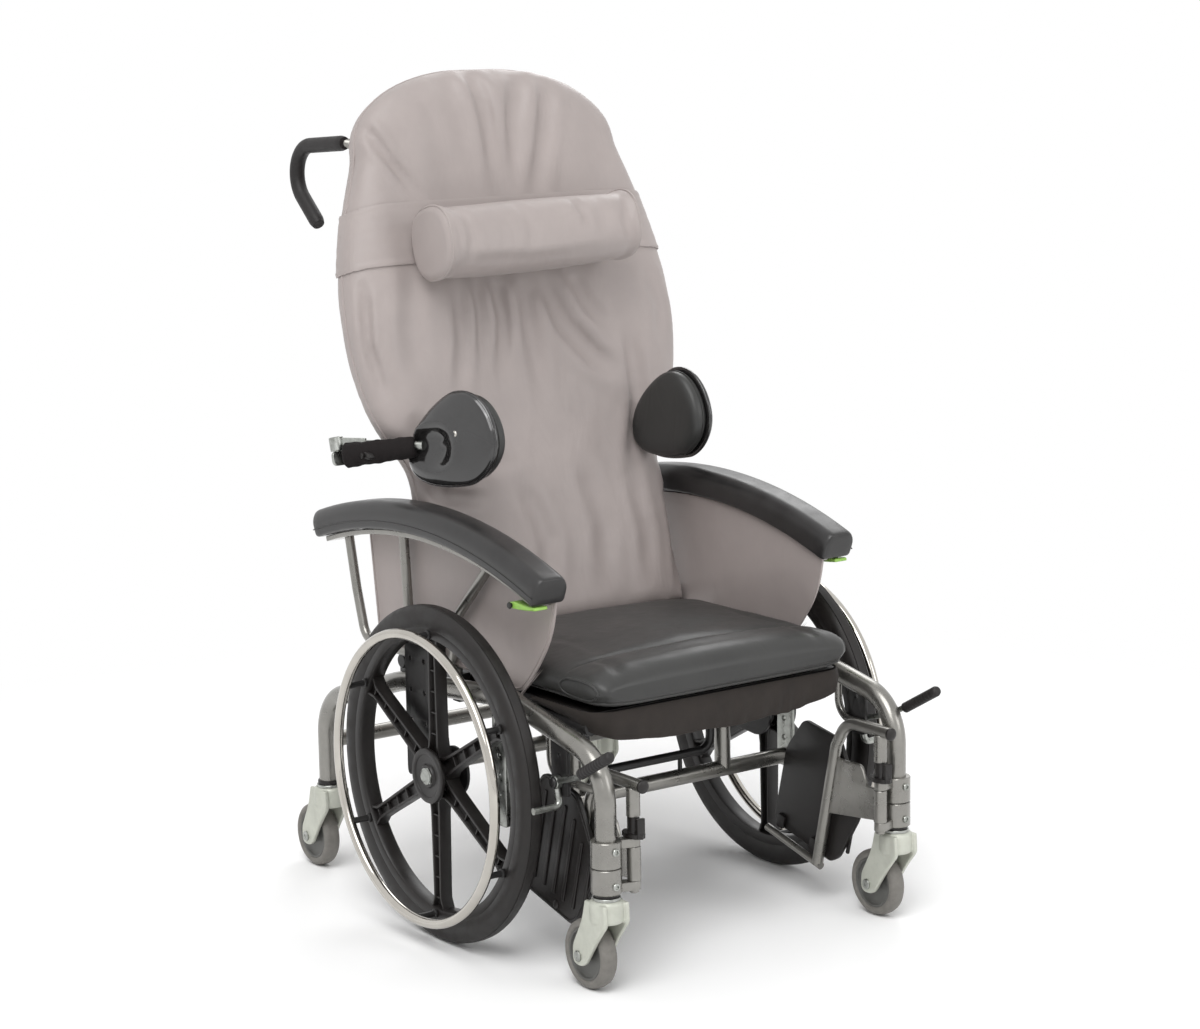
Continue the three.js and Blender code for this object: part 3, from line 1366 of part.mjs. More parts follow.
// The head pillow: a bolster with a slightly swollen rim at each end cap.
function headPillow() {
  const rim = pillowRadius + pillowCapSwell;
  const end = pillowHalfLength;
  const bolster = turnedAcross([
    [0, -end], [pillowCapShare * rim, -end], [rim, -end + pillowCapSwell], [rim, -end + 3 * pillowCapSwell],
    [pillowRadius, -end + 7 * pillowCapSwell], [pillowRadius + pillowCapSwell / 2, 0],
    [pillowRadius, end - 7 * pillowCapSwell], [rim, end - 3 * pillowCapSwell],
    [rim, end - pillowCapSwell], [pillowCapShare * rim, end], [0, end],
  ], pillowSegments);
  return cut(bolster, block(
    V(-2 * end, rim - pillowCapSwell, -2 * rim), V(2 * end, 2 * rim, 2 * rim),
  ));
}

// The strap that holds the pillow, a band round the cover.
function headStrap() {
  const band = coverLoft(strapFootH, strapTopH, 2 * seatGap + strapThickness, coverFoldDepth, strapLevels);
  return cut(band, coverLoft(coverFootH, coverTopH, 2 * seatGap, coverFoldDepth, coverLevels));
}

// The egg-shaped outline of a lateral support, in (n, h), drawn in by an inset.
function lateralOutline(inset) {
  const rear = shellRearN - inset;
  const length = shellLength - 2 * inset;
  const half = shellHalfHeight - inset;
  const at = ([along, up]) => [rear - along * length, shellH + up * half];
  const shape = new THREE.Shape();
  shape.moveTo(...at(lateralEggShares.at(-1)));
  for (let i = 0; i < lateralEggShares.length; i += 3) {
    shape.bezierCurveTo(...lateralEggShares.slice(i, i + 3).flatMap(at));
  }
  return shape;
}

// The egg-shaped plate or pad of a lateral support between two x, with all its edges rounded.
function lateralEgg(side, inner, outer, inset, round, bevelSegments) {
  return sidePlate(lateralOutline(inset + round), side * (inner + round), side * (outer - round), {
    bevelEnabled: true, bevelThickness: round, bevelSize: round, bevelSegments, curveSegments: eggPoints,
  });
}

const lateralShell = (side) =>
  lateralEgg(side, shellInnerX, shellInnerX + shellThickness, 0, shellThickness / 3, 1);

function lateralPad(side) {
  const outer = shellInnerX - seatGap;
  return lateralEgg(side, outer - lateralPadDepth, outer, lateralPadInset, lateralPadDepth / 3, 2);
}

// The lateral's swing arm: a barrel on its pin, a bar to the shell and the foam sleeve round it.
function lateralArm(side) {
  const hinge = (h) => V(side * lateralHingeX, coverRearN + lateralBarThickness / 2, h);
  const footH = lateralBarTopH + seatGap;
  const topH = lateralBarTopH + lateralBarrelHeight - seatGap;
  const barrel = rod(hinge(footH), hinge(topH), lateralBarrelRadius);
  const start = hinge((footH + topH) / 2);
  const end = V(
    side * (shellInnerX + shellThickness + seatGap + lateralArmRadius), shellRearN - shellLength / 3, shellH,
  );
  const share = (amount) => start.clone().lerp(end, amount);
  const bar = rod(start, end, lateralArmRadius);
  const sleeve = rod(
    share(sleeveStartShare), share(sleeveEndShare), sleeveRadius, frameSides, sleeveTaperShare * sleeveRadius,
  );
  const foot = rod(
    V(side * (shellInnerX + shellThickness + seatGap), end.y, end.z),
    V(side * (shellInnerX + shellThickness + seatGap + lateralArmRadius), end.y, end.z), 2 * lateralArmRadius,
  );
  const releaseN = start.y - lateralBarrelRadius;
  const release = sidePlate(filleted([
    [releaseN, footH - releaseThickness],
    [releaseN - releaseReach, footH - releaseThickness - releaseDrop, releaseThickness / 3],
    [releaseN - releaseReach, footH - releaseDrop, releaseThickness / 3],
    [releaseN, footH + releaseThickness],
  ]), side * (lateralHingeX - releaseDrop), side * (lateralHingeX - releaseDrop - releaseWidth));
  const bore = rod(hinge(footH - cutOverrun), hinge(topH + cutOverrun), bored(lateralPinRadius));
  return cut(join(bar, sleeve, foot, cut(barrel, bore)), bore);
}

// A gas spring between two points in the plane of one x: the tube's half and the rod's half.
function gasSpring(x, foot, head, tubeShare, slack) {
  const [footPoint, headPoint] = [V(x, ...foot), V(x, ...head)];
  const length = footPoint.distanceTo(headPoint);
  const at = (distance) => footPoint.clone().lerp(headPoint, distance / length);
  const eyeHalf = springEyeRadius / 2;
  const eye = (middle, radius) => rod(
    V(x - eyeHalf, middle.y, middle.z), V(x + eyeHalf, middle.y, middle.z), radius,
  );
  const hole = (middle, radius) => rod(
    V(x - 2 * eyeHalf, middle.y, middle.z), V(x + 2 * eyeHalf, middle.y, middle.z), radius,
  );
  const tubeEnd = tubeShare * length;
  const body = cut(
    join(
      eye(footPoint, springEyeRadius), rod(at(springEyeRadius / 2), at(springNeckLength + weldBite), eyeHalf),
      rod(at(springNeckLength), at(tubeEnd), springTubeRadius),
    ),
    hole(footPoint, bored(springPinRadius)),
    rod(at(springNeckLength + springTubeRadius), at(tubeEnd + cutOverrun), bored(springRodRadius)),
  );
  const eyeRadius = springPinRadius + slack + springEyeRadius / 2;
  const headNeck = length - eyeRadius + weldBite;
  const inside = springPistonShare * (tubeEnd - springNeckLength);
  const rodStart = springNeckLength + springTubeRadius + cutOverrun + inside;
  const piston = cut(
    join(eye(headPoint, eyeRadius), rod(at(rodStart), at(headNeck), springRodRadius)),
    hole(headPoint, springPinRadius + slack),
  );
  return [body, piston];
}

// Finishes
const paint = (color, metalness, roughness) =>
  new THREE.MeshStandardMaterial({ color, metalness, roughness });
const pewter = paint(0x696762, 0.7, 0.35);
const darkSteel = paint(0x3a3937, 0.6, 0.45);
const chrome = paint(0xc9cac8, 1, 0.15);
const steel = paint(0x9b9e98, 0.9, 0.35);
const castAlloy = paint(0xc8cbc0, 0.5, 0.4);
const blackPlastic = paint(0x282422, 0, 0.55);
const tyreRubber = paint(0x32302f, 0, 0.85);
const greyRubber = paint(0x807d78, 0, 0.7);
const foamRubber = paint(0x424040, 0, 0.75);
const limePlastic = paint(0x8cbe50, 0, 0.4);
const greyVinyl = paint(0xa89f9c, 0, 0.6);
const darkVinyl = paint(0x50504e, 0, 0.55);
const darkCloth = paint(0x3a3430, 0, 0.9);
const glossShell = paint(0x1c1b1b, 0, 0.2);

function add(parent, name, body, material) {
  const mesh = new THREE.Mesh(shown(body), material);
  mesh.name = name;
  parent.add(mesh);
  return mesh;
}

const chair = new THREE.Group();
const base = new THREE.Group();
const seat = new THREE.Group();
const back = new THREE.Group();
back.position.set(0, reclinePivotY, reclinePivotZ);
back.rotation.x = -THREE.MathUtils.degToRad(reclineRest);
chair.add(base, seat);
seat.add(back);

add(base, "front_crossbar", frontCrossbar(), darkSteel);
add(base, "axle_crossbar", axleCrossbar(), pewter);
add(base, "rear_crossbar", rearCrossbar(), pewter);
for (const [name, side] of Object.entries(sides)) {
  add(base, `side_frame_${name}`, sideFrame(side), pewter);
  add(base, `axle_plate_${name}`, axlePlate(side), darkSteel);
  add(base, `footrest_clamp_${name}`, footrestClamp(side), pewter);
  add(base, `wheel_lock_lever_${name}`, wheelLockLever(side), steel);
  add(base, `footrest_hanger_${name}`, footrestHanger(side), pewter);
  add(base, `footrest_latch_${name}`, footrestLatch(side), blackPlastic);

  const rest = add(base, `footplate_${name}`, footplate(side), blackPlastic);
  const rake = THREE.MathUtils.degToRad(footplateRake);
  const [sin, cos] = [Math.sin(rake), Math.cos(rake)];
  const frame = new THREE.Matrix4().makeBasis(V(0, cos, sin), V(0, -sin, cos), V(1, 0, 0));
  const inner = side * (hangerAxisX + footplateOffset);
  const plateX = side > 0 ? inner : inner - (footplateThickness - footplateThickness / 4);
  frame.setPosition(plateX, hangerFootY, hangerFootZ);
  rest.applyMatrix4(frame);

  const wheel = new THREE.Group();
  wheel.position.set(side * driveWheelTrack, 0, driveWheelRadius);
  wheel.rotation.z = side > 0 ? 0 : Math.PI;
  base.add(wheel);
  add(wheel, `mag_wheel_${name}`, magWheel(), blackPlastic);
  add(wheel, `tyre_${name}`, driveTyre(), tyreRubber);
  add(wheel, `handrim_${name}`, handrim(), chrome);

  for (const [end, y] of [["front", frontStemY], ["rear", rearStemY]]) {
    const caster = new THREE.Group();
    caster.position.set(side * frameHalfTrack, y, 0);
    base.add(caster);
    add(caster, `caster_fork_${end}_${name}`, casterFork(), castAlloy);
    const roller = add(caster, `caster_wheel_${end}_${name}`, casterWheel(), greyRubber);
    roller.position.set(0, casterTrail, casterWheelRadius);
  }

  add(seat, `arm_frame_${name}`, armFrame(side), pewter);
  add(seat, `arm_pad_${name}`, armPad(side), foamRubber);
  add(seat, `side_panel_${name}`, sidePanel(side), greyVinyl);
  add(seat, `arm_lever_${name}`, armLever(side), limePlastic);
  add(back, `push_grip_${name}`, pushGrip(side), foamRubber);
  add(back, `lateral_arm_${name}`, lateralArm(side), darkSteel);
  add(back, `lateral_shell_${name}`, lateralShell(side), glossShell);
  add(back, `lateral_pad_${name}`, lateralPad(side), darkVinyl);
}

add(seat, "seat_frame", seatFrame(), darkSteel);
add(seat, "seat_pan", seatPan(), blackPlastic);
add(seat, "seat_cushion", seatCushion(), darkVinyl);
add(seat, "seat_skirt", seatSkirt(), darkCloth);
add(back, "back_frame", backFrame(0), pewter);
add(back, "back_cover", backCover(), greyVinyl);
add(back, "head_strap", headStrap(), greyVinyl);
add(back, "head_pillow", headPillow(), greyVinyl).position.set(0, pillowN, pillowH);

const [tiltCylinder, tiltRod] = gasSpring(
  tiltSpringX, [axleBarY, tiltSpringFootZ], [tiltSpringTopY, tiltSpringTopZ],
  tiltSpringTubeShare, tiltEyeSlack,
);
add(base, "tilt_cylinder", tiltCylinder, darkSteel);
add(base, "tilt_rod", tiltRod, chrome);
const [reclineCylinder, reclineRod] = gasSpring(
  reclineSpringX, [reclineSpringFrontY, reclineSpringFrontZ], [reclinePivotY, reclinePivotZ - reclineLever],
  reclineSpringTubeShare, reclineEyeSlack,
);
add(seat, "recline_cylinder", reclineCylinder, darkSteel);
add(seat, "recline_rod", reclineRod, chrome);

// The whole chair is centred front to back over its origin, which stays on the floor.
const extent = new THREE.Box3().setFromObject(chair, true);
chair.position.y = -(extent.min.y + extent.max.y) / 2;

const wheelchair = new THREE.Group();
wheelchair.add(chair);

export default wheelchair;
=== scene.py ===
"""A tilt in space wheelchair dressed on its packed frame: wheels, tubes, arms, footrests and upholstery."""
import math

import bmesh
import bpy
import numpy as np
from mathutils import Matrix, Vector
from mathutils.bvhtree import BVHTree


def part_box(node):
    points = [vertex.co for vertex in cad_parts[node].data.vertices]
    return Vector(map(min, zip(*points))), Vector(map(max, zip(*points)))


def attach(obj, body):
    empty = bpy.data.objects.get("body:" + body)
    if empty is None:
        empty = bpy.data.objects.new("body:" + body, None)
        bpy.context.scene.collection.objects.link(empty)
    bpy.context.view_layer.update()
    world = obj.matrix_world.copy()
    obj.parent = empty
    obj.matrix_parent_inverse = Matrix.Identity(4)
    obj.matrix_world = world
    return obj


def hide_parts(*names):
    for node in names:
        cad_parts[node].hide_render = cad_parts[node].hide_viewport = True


bl_info = {
    "name": "Tilting Wheelchair Dressing",
    "version": (1, 0, 0),
    "blender": (4, 5, 0),
    "location": "View3D > Sidebar > Wheelchair",
    "description": "Builds the visible pieces and finishes of a tilting wheelchair",
    "category": "Object",
}

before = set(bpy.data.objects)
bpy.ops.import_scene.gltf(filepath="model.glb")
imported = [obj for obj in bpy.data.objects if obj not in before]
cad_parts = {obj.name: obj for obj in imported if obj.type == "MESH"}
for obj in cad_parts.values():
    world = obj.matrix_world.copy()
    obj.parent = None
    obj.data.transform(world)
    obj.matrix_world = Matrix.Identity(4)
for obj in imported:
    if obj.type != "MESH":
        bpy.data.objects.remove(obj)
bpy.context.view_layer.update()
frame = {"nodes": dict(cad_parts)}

SIDES = {"right": -1, "left": 1}
MM = 0.001
# Places in millimetres from the middle (X), the drive axle (Y) and the floor (Z).
WHEEL_X, WHEEL_Z = 314, 254  # the middle of a drive wheel
TUBE_X = 269  # the side tubes, with the caster stems in their ends
FRONT_Y, REAR_Y = -358, 407  # the caster stems
CASTER_TRAIL, CASTER_Z = 40.5, 51  # a caster's axle behind its stem and over the floor
CROSSBAR_Y = -98  # the front crossbar and what stands on it
REST_X = 142  # the two posts that the seat rests on
TILT_Y, TILT_Z = 185, 385  # the pivot of the seat
LOCK_Y, LOCK_Z = -262, 292  # the pivot of a wheel lock
HANGER_X, HANGER_Y = 229, -369  # the upright pin of a footrest
FOOT_Y, FOOT_Z = -222, 64  # the lower end of a hanger's tube
ARM_X = 262  # the arms' tubes
ARC_Y, ARC_Z = 100, -302  # the centre of the arms' bow
ARM_BAR_LOW, ARM_BAR_HIGH = 891.2, 899.2  # its radii at both faces of the flat bar
CUSHION_Z = 412.5  # the middle height of the cushion
# Places on the back in millimetres across (X), rearward (N) and up (H).
LEAN = math.radians(14.5)  # the back's lean at rest
COVER_N = -22.6  # the middle of the cover's thickness
COVER_HALF_DEPTH = 39
COVER_FOOT, COVER_TOP = -12, 877  # the heights of its ends
COVER_WAVE = 2.4  # how high its six soft waves are
SHOULDER_H, CROWN_HEIGHT = 740, 140  # where its round top begins, and how high that is
GRIP_X, GRIP_FOOT, GRIP_BEND, GRIP_TIP = 228, (27.5, 776), (237, 816), (140, 673)  # the push handles, in (N, H)
PILLOW_RIGHT, PILLOW_LEFT = -197, 169
PILLOW_N, PILLOW_H = -124, 586
LATERAL_X, LATERAL_N, LATERAL_H = 328, 19.4, 286  # the pin of a chest support, and the height of its arm
SHELL_FRONT_N = -228  # the front edge of its shell
tyre_low, tyre_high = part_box("tyre_left")
AXLE_Y = (tyre_low[1] + tyre_high[1]) / 2
BACK_PIVOT = Vector((0, AXLE_Y + 150 * MM, 425 * MM))
BACK_REARWARD = Vector((0, math.cos(LEAN), -math.sin(LEAN)))
BACK_UPWARD = Vector((0, math.sin(LEAN), math.cos(LEAN)))
X, Y, Z = Vector((1, 0, 0)), Vector((0, 1, 0)), Vector((0, 0, 1))


def at(x, y, z):
    """A point from millimetres measured from the middle, the drive axle and the floor."""
    return Vector((x * MM, AXLE_Y + y * MM, z * MM))


def on_back(x, n, h):
    """A point from millimetres across, rearward and up the reclined back."""
    return BACK_PIVOT + X * x * MM + BACK_REARWARD * n * MM + BACK_UPWARD * h * MM


# Colours and nodes


def linear(code):
    """An sRGB hex colour as linear values."""
    parts = [int(code[i:i + 2], 16) / 255 for i in (1, 3, 5)]
    return tuple(c / 12.92 if c <= 0.04045 else ((c + 0.055) / 1.055) ** 2.4 for c in parts) + (1.0,)


def add_node(tree, kind, settings=None, links=None):
    """A node with its properties, its input values and its incoming links set."""
    made = tree.nodes.new(kind)
    for name, value in (settings or {}).items():
        if isinstance(name, str) and hasattr(made, name):
            setattr(made, name, value)
        else:
            made.inputs[name].default_value = value
    for name, socket in (links or {}).items():
        tree.links.new(socket, made.inputs[name])
    return made


def ramp_between(tree, socket, stops):
    """A colour ramp over a socket, with stops given as (position, linear colour)."""
    ramp = add_node(tree, "ShaderNodeValToRGB", links={"Fac": socket})
    elements = ramp.color_ramp.elements
    for i, (place, colour) in enumerate(stops):
        element = elements[i] if i < 2 else elements.new(place)
        element.position = place
        element.color = colour
    return ramp.outputs["Color"]


def darker(colour, share):
    """A colour with a share of its light."""
    return tuple(c * share for c in colour[:3]) + (1.0,)


def finish(name, light, dark, rough, metallic=0.0, patch=60.0, grain=None, depth=0.1, kind="noise",
           coat=0.0, sheen=0.0, swing=0.08, creases=0.0, gleam=0.5):
    """A procedural finish. patch is the size of its colour patches and grain that of its texture, in mm;
    depth is how deep the texture is, in mm."""
    light = linear(light) if isinstance(light, str) else tuple(light)
    dark = linear(dark) if isinstance(dark, str) else darker(light, dark)
    material = bpy.data.materials.new(name)
    material.use_nodes = True
    tree = material.node_tree
    tree.nodes.clear()
    place = add_node(tree, "ShaderNodeTexCoord").outputs["Object"]
    patches = add_node(tree, "ShaderNodeTexNoise", {"Scale": 1 / (patch * MM), "Detail": 4.0, "Roughness": 0.6},
                       {"Vector": place})
    colour = ramp_between(tree, patches.outputs["Fac"], [(0.3, dark), (0.7, light)])
    gloss = add_node(tree, "ShaderNodeMapRange", {"From Min": 0.3, "From Max": 0.7,
                                                 "To Min": max(0.02, rough - swing), "To Max": rough + swing},
                     {"Value": patches.outputs["Fac"]})
    shader = add_node(tree, "ShaderNodeBsdfPrincipled",
                      {"Metallic": metallic, "Coat Weight": coat, "Sheen Weight": sheen,
                       "Specular IOR Level": gleam},
                      {"Base Color": colour, "Roughness": gloss.outputs["Result"]})
    if not metallic:
        shader.inputs["IOR"].default_value = 1.5
    height = None
    if grain and kind == "noise":
        height = add_node(tree, "ShaderNodeTexNoise", {"Scale": 1 / (grain * MM), "Detail": 3.0},
                          {"Vector": place}).outputs["Fac"]
    if grain and kind == "pebble":
        cells = add_node(tree, "ShaderNodeTexVoronoi", {"feature": "DISTANCE_TO_EDGE", "Scale": 1 / (grain * MM)},
                         {"Vector": place})
        height = add_node(tree, "ShaderNodeMath", {"operation": "MINIMUM", 1: 0.25},
                          {0: cells.outputs["Distance"]}).outputs[0]
    if grain and kind == "weave":
        waves = [add_node(tree, "ShaderNodeTexWave",
                          {"bands_direction": way, "Scale": 0.314 / (grain * MM), "Distortion": 0.4},
                          {"Vector": place}).outputs["Fac"] for way in ("X", "Z")]
        height = add_node(tree, "ShaderNodeMath", {"operation": "MAXIMUM"}, {0: waves[0], 1: waves[1]}).outputs[0]
    normal = None
    if creases:
        stretch = add_node(tree, "ShaderNodeMapping", {"Scale": (1.6, 1.6, 0.7)}, {"Vector": place})
        folds = add_node(tree, "ShaderNodeTexNoise", {"Scale": 14.0, "Detail": 2.0, "Distortion": 0.8},
                         {"Vector": stretch.outputs["Vector"]})
        normal = add_node(tree, "ShaderNodeBump", {"Strength": 1.0, "Distance": creases * MM},
                          {"Height": folds.outputs["Fac"]}).outputs["Normal"]
    if height is not None:
        bump = add_node(tree, "ShaderNodeBump", {"Strength": 1.0, "Distance": depth * MM}, {"Height": height})
        if normal:
            tree.links.new(normal, bump.inputs["Normal"])
        normal = bump.outputs["Normal"]
    if normal:
        tree.links.new(normal, shader.inputs["Normal"])
    add_node(tree, "ShaderNodeOutputMaterial", links={"Surface": shader.outputs["BSDF"]})
    return material


FINISHES = {}
TREES = {}


def set_finishes(colours):
    """Makes every finish on the chair and the trees that repeat parts"""
    TREES.update(ring=ring_tree(), row=row_tree())
    FINISHES.update({
        # Steel tube with a pewter metallic coat, baked under clear: soft wide highlights, faint orange peel.
        "pewter": finish("Pewter Metallic Coated Steel", colours.frame, 0.8, 0.3, metallic=0.85, patch=40,
                         grain=2.2, depth=0.02, coat=0.4),
        # Powder-coated steel: almost black, fine even grit that breaks the highlight.
        "black_steel": finish("Satin Black Powder Coated Steel", "#282727", "#1e1d1d", 0.38, patch=50, grain=0.8,
                              depth=0.05, gleam=0.4),
        # Zinc-plated steel: cool grey with cloudy patches and a low sheen.
        "zinc": finish("Zinc Plated Steel", "#b4b6b2", "#8b8d88", 0.32, metallic=1.0, patch=12, grain=1.2,
                       depth=0.02),
        # Chrome plate on steel tube: a near mirror with a faint haze.
        "chrome": finish("Chrome Plated Steel", "#c4c0b9", "#b4b0a9", 0.1, metallic=1.0, patch=90, swing=0.03),
        # Die-cast aluminium under a light silver-green coat: fine cast pebble, dull shine.
        "cast": finish("Coated Die Cast Aluminium", "#c9cbc0", "#b6b8ad", 0.45, metallic=0.25, patch=30, grain=1.0,
                       depth=0.06),
        # Glass-filled nylon, moulded: black with a fine spark-eroded grain.
        "nylon": finish("Moulded Black Nylon", colours.moulding, 0.7, 0.4, patch=45, grain=0.7, depth=0.05,
                        gleam=0.4),
        # Solid polyurethane tyre: dark warm grey, matt, scuffed in patches.
        "tyre": finish("Polyurethane Tyre", "#262322", "#1c1a19", 0.5, patch=25, grain=0.9, depth=0.06,
                       swing=0.12, gleam=0.35),
        # Non-marking grey rubber: even, matt, a little dusty.
        "grey_rubber": finish("Grey Rubber", "#7d7a75", "#6c6964", 0.6, patch=14, grain=0.7, depth=0.05),
        # Grey nylon wheel core.
        "grey_nylon": finish("Grey Nylon", "#62625f", "#545451", 0.5, patch=18, grain=0.9, depth=0.04),
        # Integral-skin foam: charcoal skin with a leathery pebble and a soft shine.
        "skin_foam": finish("Integral Skin Foam", "#313030", "#272626", 0.36, patch=40, grain=1.6, depth=0.07,
                            kind="pebble", coat=0.06, gleam=0.42),
        # Closed-cell foam sleeve: black, dead matt, open pores.
        "foam": finish("Closed Cell Foam Sleeve", "#221e1e", "#181515", 0.85, patch=15, grain=1.1, depth=0.25,
                       gleam=0.2),
        # Injection-moulded lime plastic.
        "lime": finish("Lime Polypropylene", colours.lever, 0.85, 0.35, patch=12, grain=0.9, depth=0.02),
        # High-gloss ABS, black with a grained field: bright clear highlights.
        "abs": finish("Gloss Black ABS", "#272626", "#1d1c1c", 0.16, patch=60, grain=1.4, depth=0.03, coat=0.8),
        # Two-way stretch vinyl on foam: warm grey with a fine pebble grain and soft shallow creases.
        "vinyl": finish("Warm Grey Stretch Vinyl", colours.upholstery, 0.88, 0.5, patch=120, grain=1.5, depth=0.05,
                        kind="pebble", sheen=0.08, creases=1.6),
        # The same vinyl in charcoal, a touch glossier where it is sat on.
        "dark_vinyl": finish("Charcoal Stretch Vinyl", colours.cushion, 0.8, 0.42, patch=90, grain=1.5, depth=0.05,
                             kind="pebble", coat=0.03, creases=1.2, gleam=0.42),
        # Woven polyester apron; its threads are drawn as coarse as they need to be to show.
        "cloth": finish("Woven Polyester", colours.apron, 0.7, 0.8, patch=30, grain=1.2, depth=0.12,
                        kind="weave", sheen=0.05, gleam=0.2),
        # Moulded rubber of grips and rests.
        "black_rubber": finish("Moulded Black Rubber", "#292626", "#1e1c1c", 0.55, patch=20, grain=0.9, depth=0.07,
                               gleam=0.35),
    })


# Meshes


def seal(mesh, angle=40.0, flip=True):
    """Merges doubles, turns the faces outwards and smooths all but the sharp edges."""
    bm = bmesh.new()
    bm.from_mesh(mesh)
    bmesh.ops.remove_doubles(bm, verts=bm.verts, dist=2e-6)
    loose = [v for v in bm.verts if not v.link_faces]
    bmesh.ops.delete(bm, geom=loose, context="VERTS")
    if flip:
        bmesh.ops.recalc_face_normals(bm, faces=bm.faces)
    bm.to_mesh(mesh)
    bm.free()
    mesh.shade_smooth()
    mesh.set_sharp_from_angle(angle=math.radians(angle))
    return mesh


def mesh_of(points, faces, angle=40.0):
    """A sealed mesh of points and faces."""
    mesh = bpy.data.meshes.new("part")
    mesh.from_pydata([tuple(p) for p in points], [], faces)
    return seal(mesh, angle)


def joined(meshes):
    """Several meshes as one, each keeping its own shading."""
    points, faces, sharp = [], [], []
    for mesh in meshes:
        base = len(points)
        points += [v.co.copy() for v in mesh.vertices]
        faces += [[base + i for i in p.vertices] for p in mesh.polygons]
        sharp += [(base + e.vertices[0], base + e.vertices[1]) for e in mesh.edges if e.use_edge_sharp]
    whole = bpy.data.meshes.new("part")
    whole.from_pydata(points, [], faces)
    whole.shade_smooth()
    keys = {tuple(sorted(pair)) for pair in sharp}
    for edge in whole.edges:
        edge.use_edge_sharp = tuple(sorted(edge.vertices)) in keys
    return whole


def in_scene(name, data):
    """A new object in the scene, for a mesh, a curve, a lamp or a camera."""
    obj = bpy.data.objects.new(name, data)
    bpy.context.scene.collection.objects.link(obj)
    return obj


def piece(name, mesh, finish_key, body, replaces=()):
    """Puts a mesh, or several as one, into the scene as a piece that rides on a body."""
    mesh = joined(mesh) if isinstance(mesh, list) else mesh
    mesh.name = name
    obj = in_scene(name, mesh)
    mesh.materials.clear()
    mesh.materials.append(FINISHES[finish_key])
    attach(obj, body)
    if replaces:
        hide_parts(*replaces)
    return obj


def evaluated_mesh(obj):
    """An object's mesh with its modifiers applied."""
    graph = bpy.context.evaluated_depsgraph_get()
    return bpy.data.meshes.new_from_object(obj.evaluated_get(graph))


def bent(corners, steps=10):
    """Stations along straight runs joined by circular bends, from corners given as (point, bend radius)."""
    stations = []
    for i, (point, radius) in enumerate(corners):
        if not radius:
            stations.append(point)
            continue
        back = (corners[i - 1][0] - point).normalized()
        ahead = (corners[i + 1][0] - point).normalized()
        half = back.angle(ahead) / 2
        bend = radius * MM
        centre = point + (back + ahead).normalized() * (bend / math.sin(half))
        spoke = point + back * (bend / math.tan(half)) - centre
        axis = ahead.cross(back).normalized()
        for k in range(steps + 1):
            turn = Matrix.Rotation((math.pi - 2 * half) * k / steps, 3, axis)
            stations.append(centre + turn @ spoke)
    return stations


def swept(path, radius, sides=24, closed=False):
    """A round bar of a radius, or of one radius for each station, along a path."""
    count = len(path)
    radii = radius if hasattr(radius, "__len__") else [radius] * count
    rings, side = [], None
    for i, point in enumerate(path):
        before = path[i - 1] if i or closed else point
        after = path[(i + 1) % count] if i < count - 1 or closed else point
        along = (after - before).normalized()
        if side is None:
            side = along.orthogonal().normalized()
            if abs(along.dot(X)) < 0.95:
                side = (X - along * X.dot(along)).normalized()
        side = (side - along * side.dot(along)).normalized()
        up = along.cross(side)
        rings.append([point + (side * math.cos(a) * radii[i] * MM) + up * (math.sin(a) * radii[i] * MM)
                      for a in angles(sides)])
    return ringed(rings, closed)


def ringed(rings, closed=False, angle=40.0):
    """A skin over rings of equally many points, closed by a face over each end or round on itself."""
    sides = len(rings[0])
    points = [p for ring in rings for p in ring]
    faces = []
    for i in range(len(rings) - (0 if closed else 1)):
        j = (i + 1) % len(rings)
        for k in range(sides):
            m = (k + 1) % sides
            faces.append((i * sides + k, i * sides + m, j * sides + m, j * sides + k))
    if not closed:
        faces.append(tuple(range(sides))[::-1])
        faces.append(tuple(range(len(points) - sides, len(points))))
    return mesh_of(points, faces, angle)


def turned(profile, centre, axis, segments=64, angle=35.0):
    """A turned shape about an axis through a centre, from (radius, along) pairs in millimetres."""
    along = Vector(axis).normalized()
    side = along.orthogonal().normalized()
    up = along.cross(side)
    rows = []
    points, faces = [], []
    for radius, way in profile:
        if radius < 1e-6:
            rows.append([len(points)] * segments)
            points.append(centre + along * way * MM)
            continue
        rows.append(list(range(len(points), len(points) + segments)))
        for a in angles(segments):
            points.append(centre + along * way * MM + (side * math.cos(a) + up * math.sin(a)) * radius * MM)
    for low, high in zip(rows, rows[1:]):
        for k in range(segments):
            m = (k + 1) % segments
            face = list(dict.fromkeys((low[k], low[m], high[m], high[k])))
            if len(face) > 2:
                faces.append(face)
    return mesh_of(points, faces, angle)


def rounded(corners, steps=5):
    """An outline in two measures, with corners given as (across, up, fillet)."""
    outline = []
    for i, corner in enumerate(corners):
        point = Vector(corner[:2])
        fillet = corner[2] if len(corner) > 2 else 0
        if not fillet:
            outline.append(point)
            continue
        start = point + (Vector(corners[i - 1][:2]) - point).normalized() * fillet
        end = point + (Vector(corners[(i + 1) % len(corners)][:2]) - point).normalized() * fillet
        for k in range(steps + 1):
            t = k / steps
            outline.append(start * (1 - t) ** 2 + point * 2 * t * (1 - t) + end * t ** 2)
    return outline


def oblong(left, low, right, high, fillet=0, steps=5):
    """The outline of a rectangle with equal fillets."""
    return rounded([(left, low, fillet), (right, low, fillet), (right, high, fillet), (left, high, fillet)],
                   steps)


def angles(count):
    """Evenly spaced angles round a full turn."""
    return [2 * math.pi * i / count for i in range(count)]


def circle(across, up, radius, count=20):
    """The outline of a round hole or boss."""
    return [Vector((across + radius * math.cos(a), up + radius * math.sin(a))) for a in angles(count)]


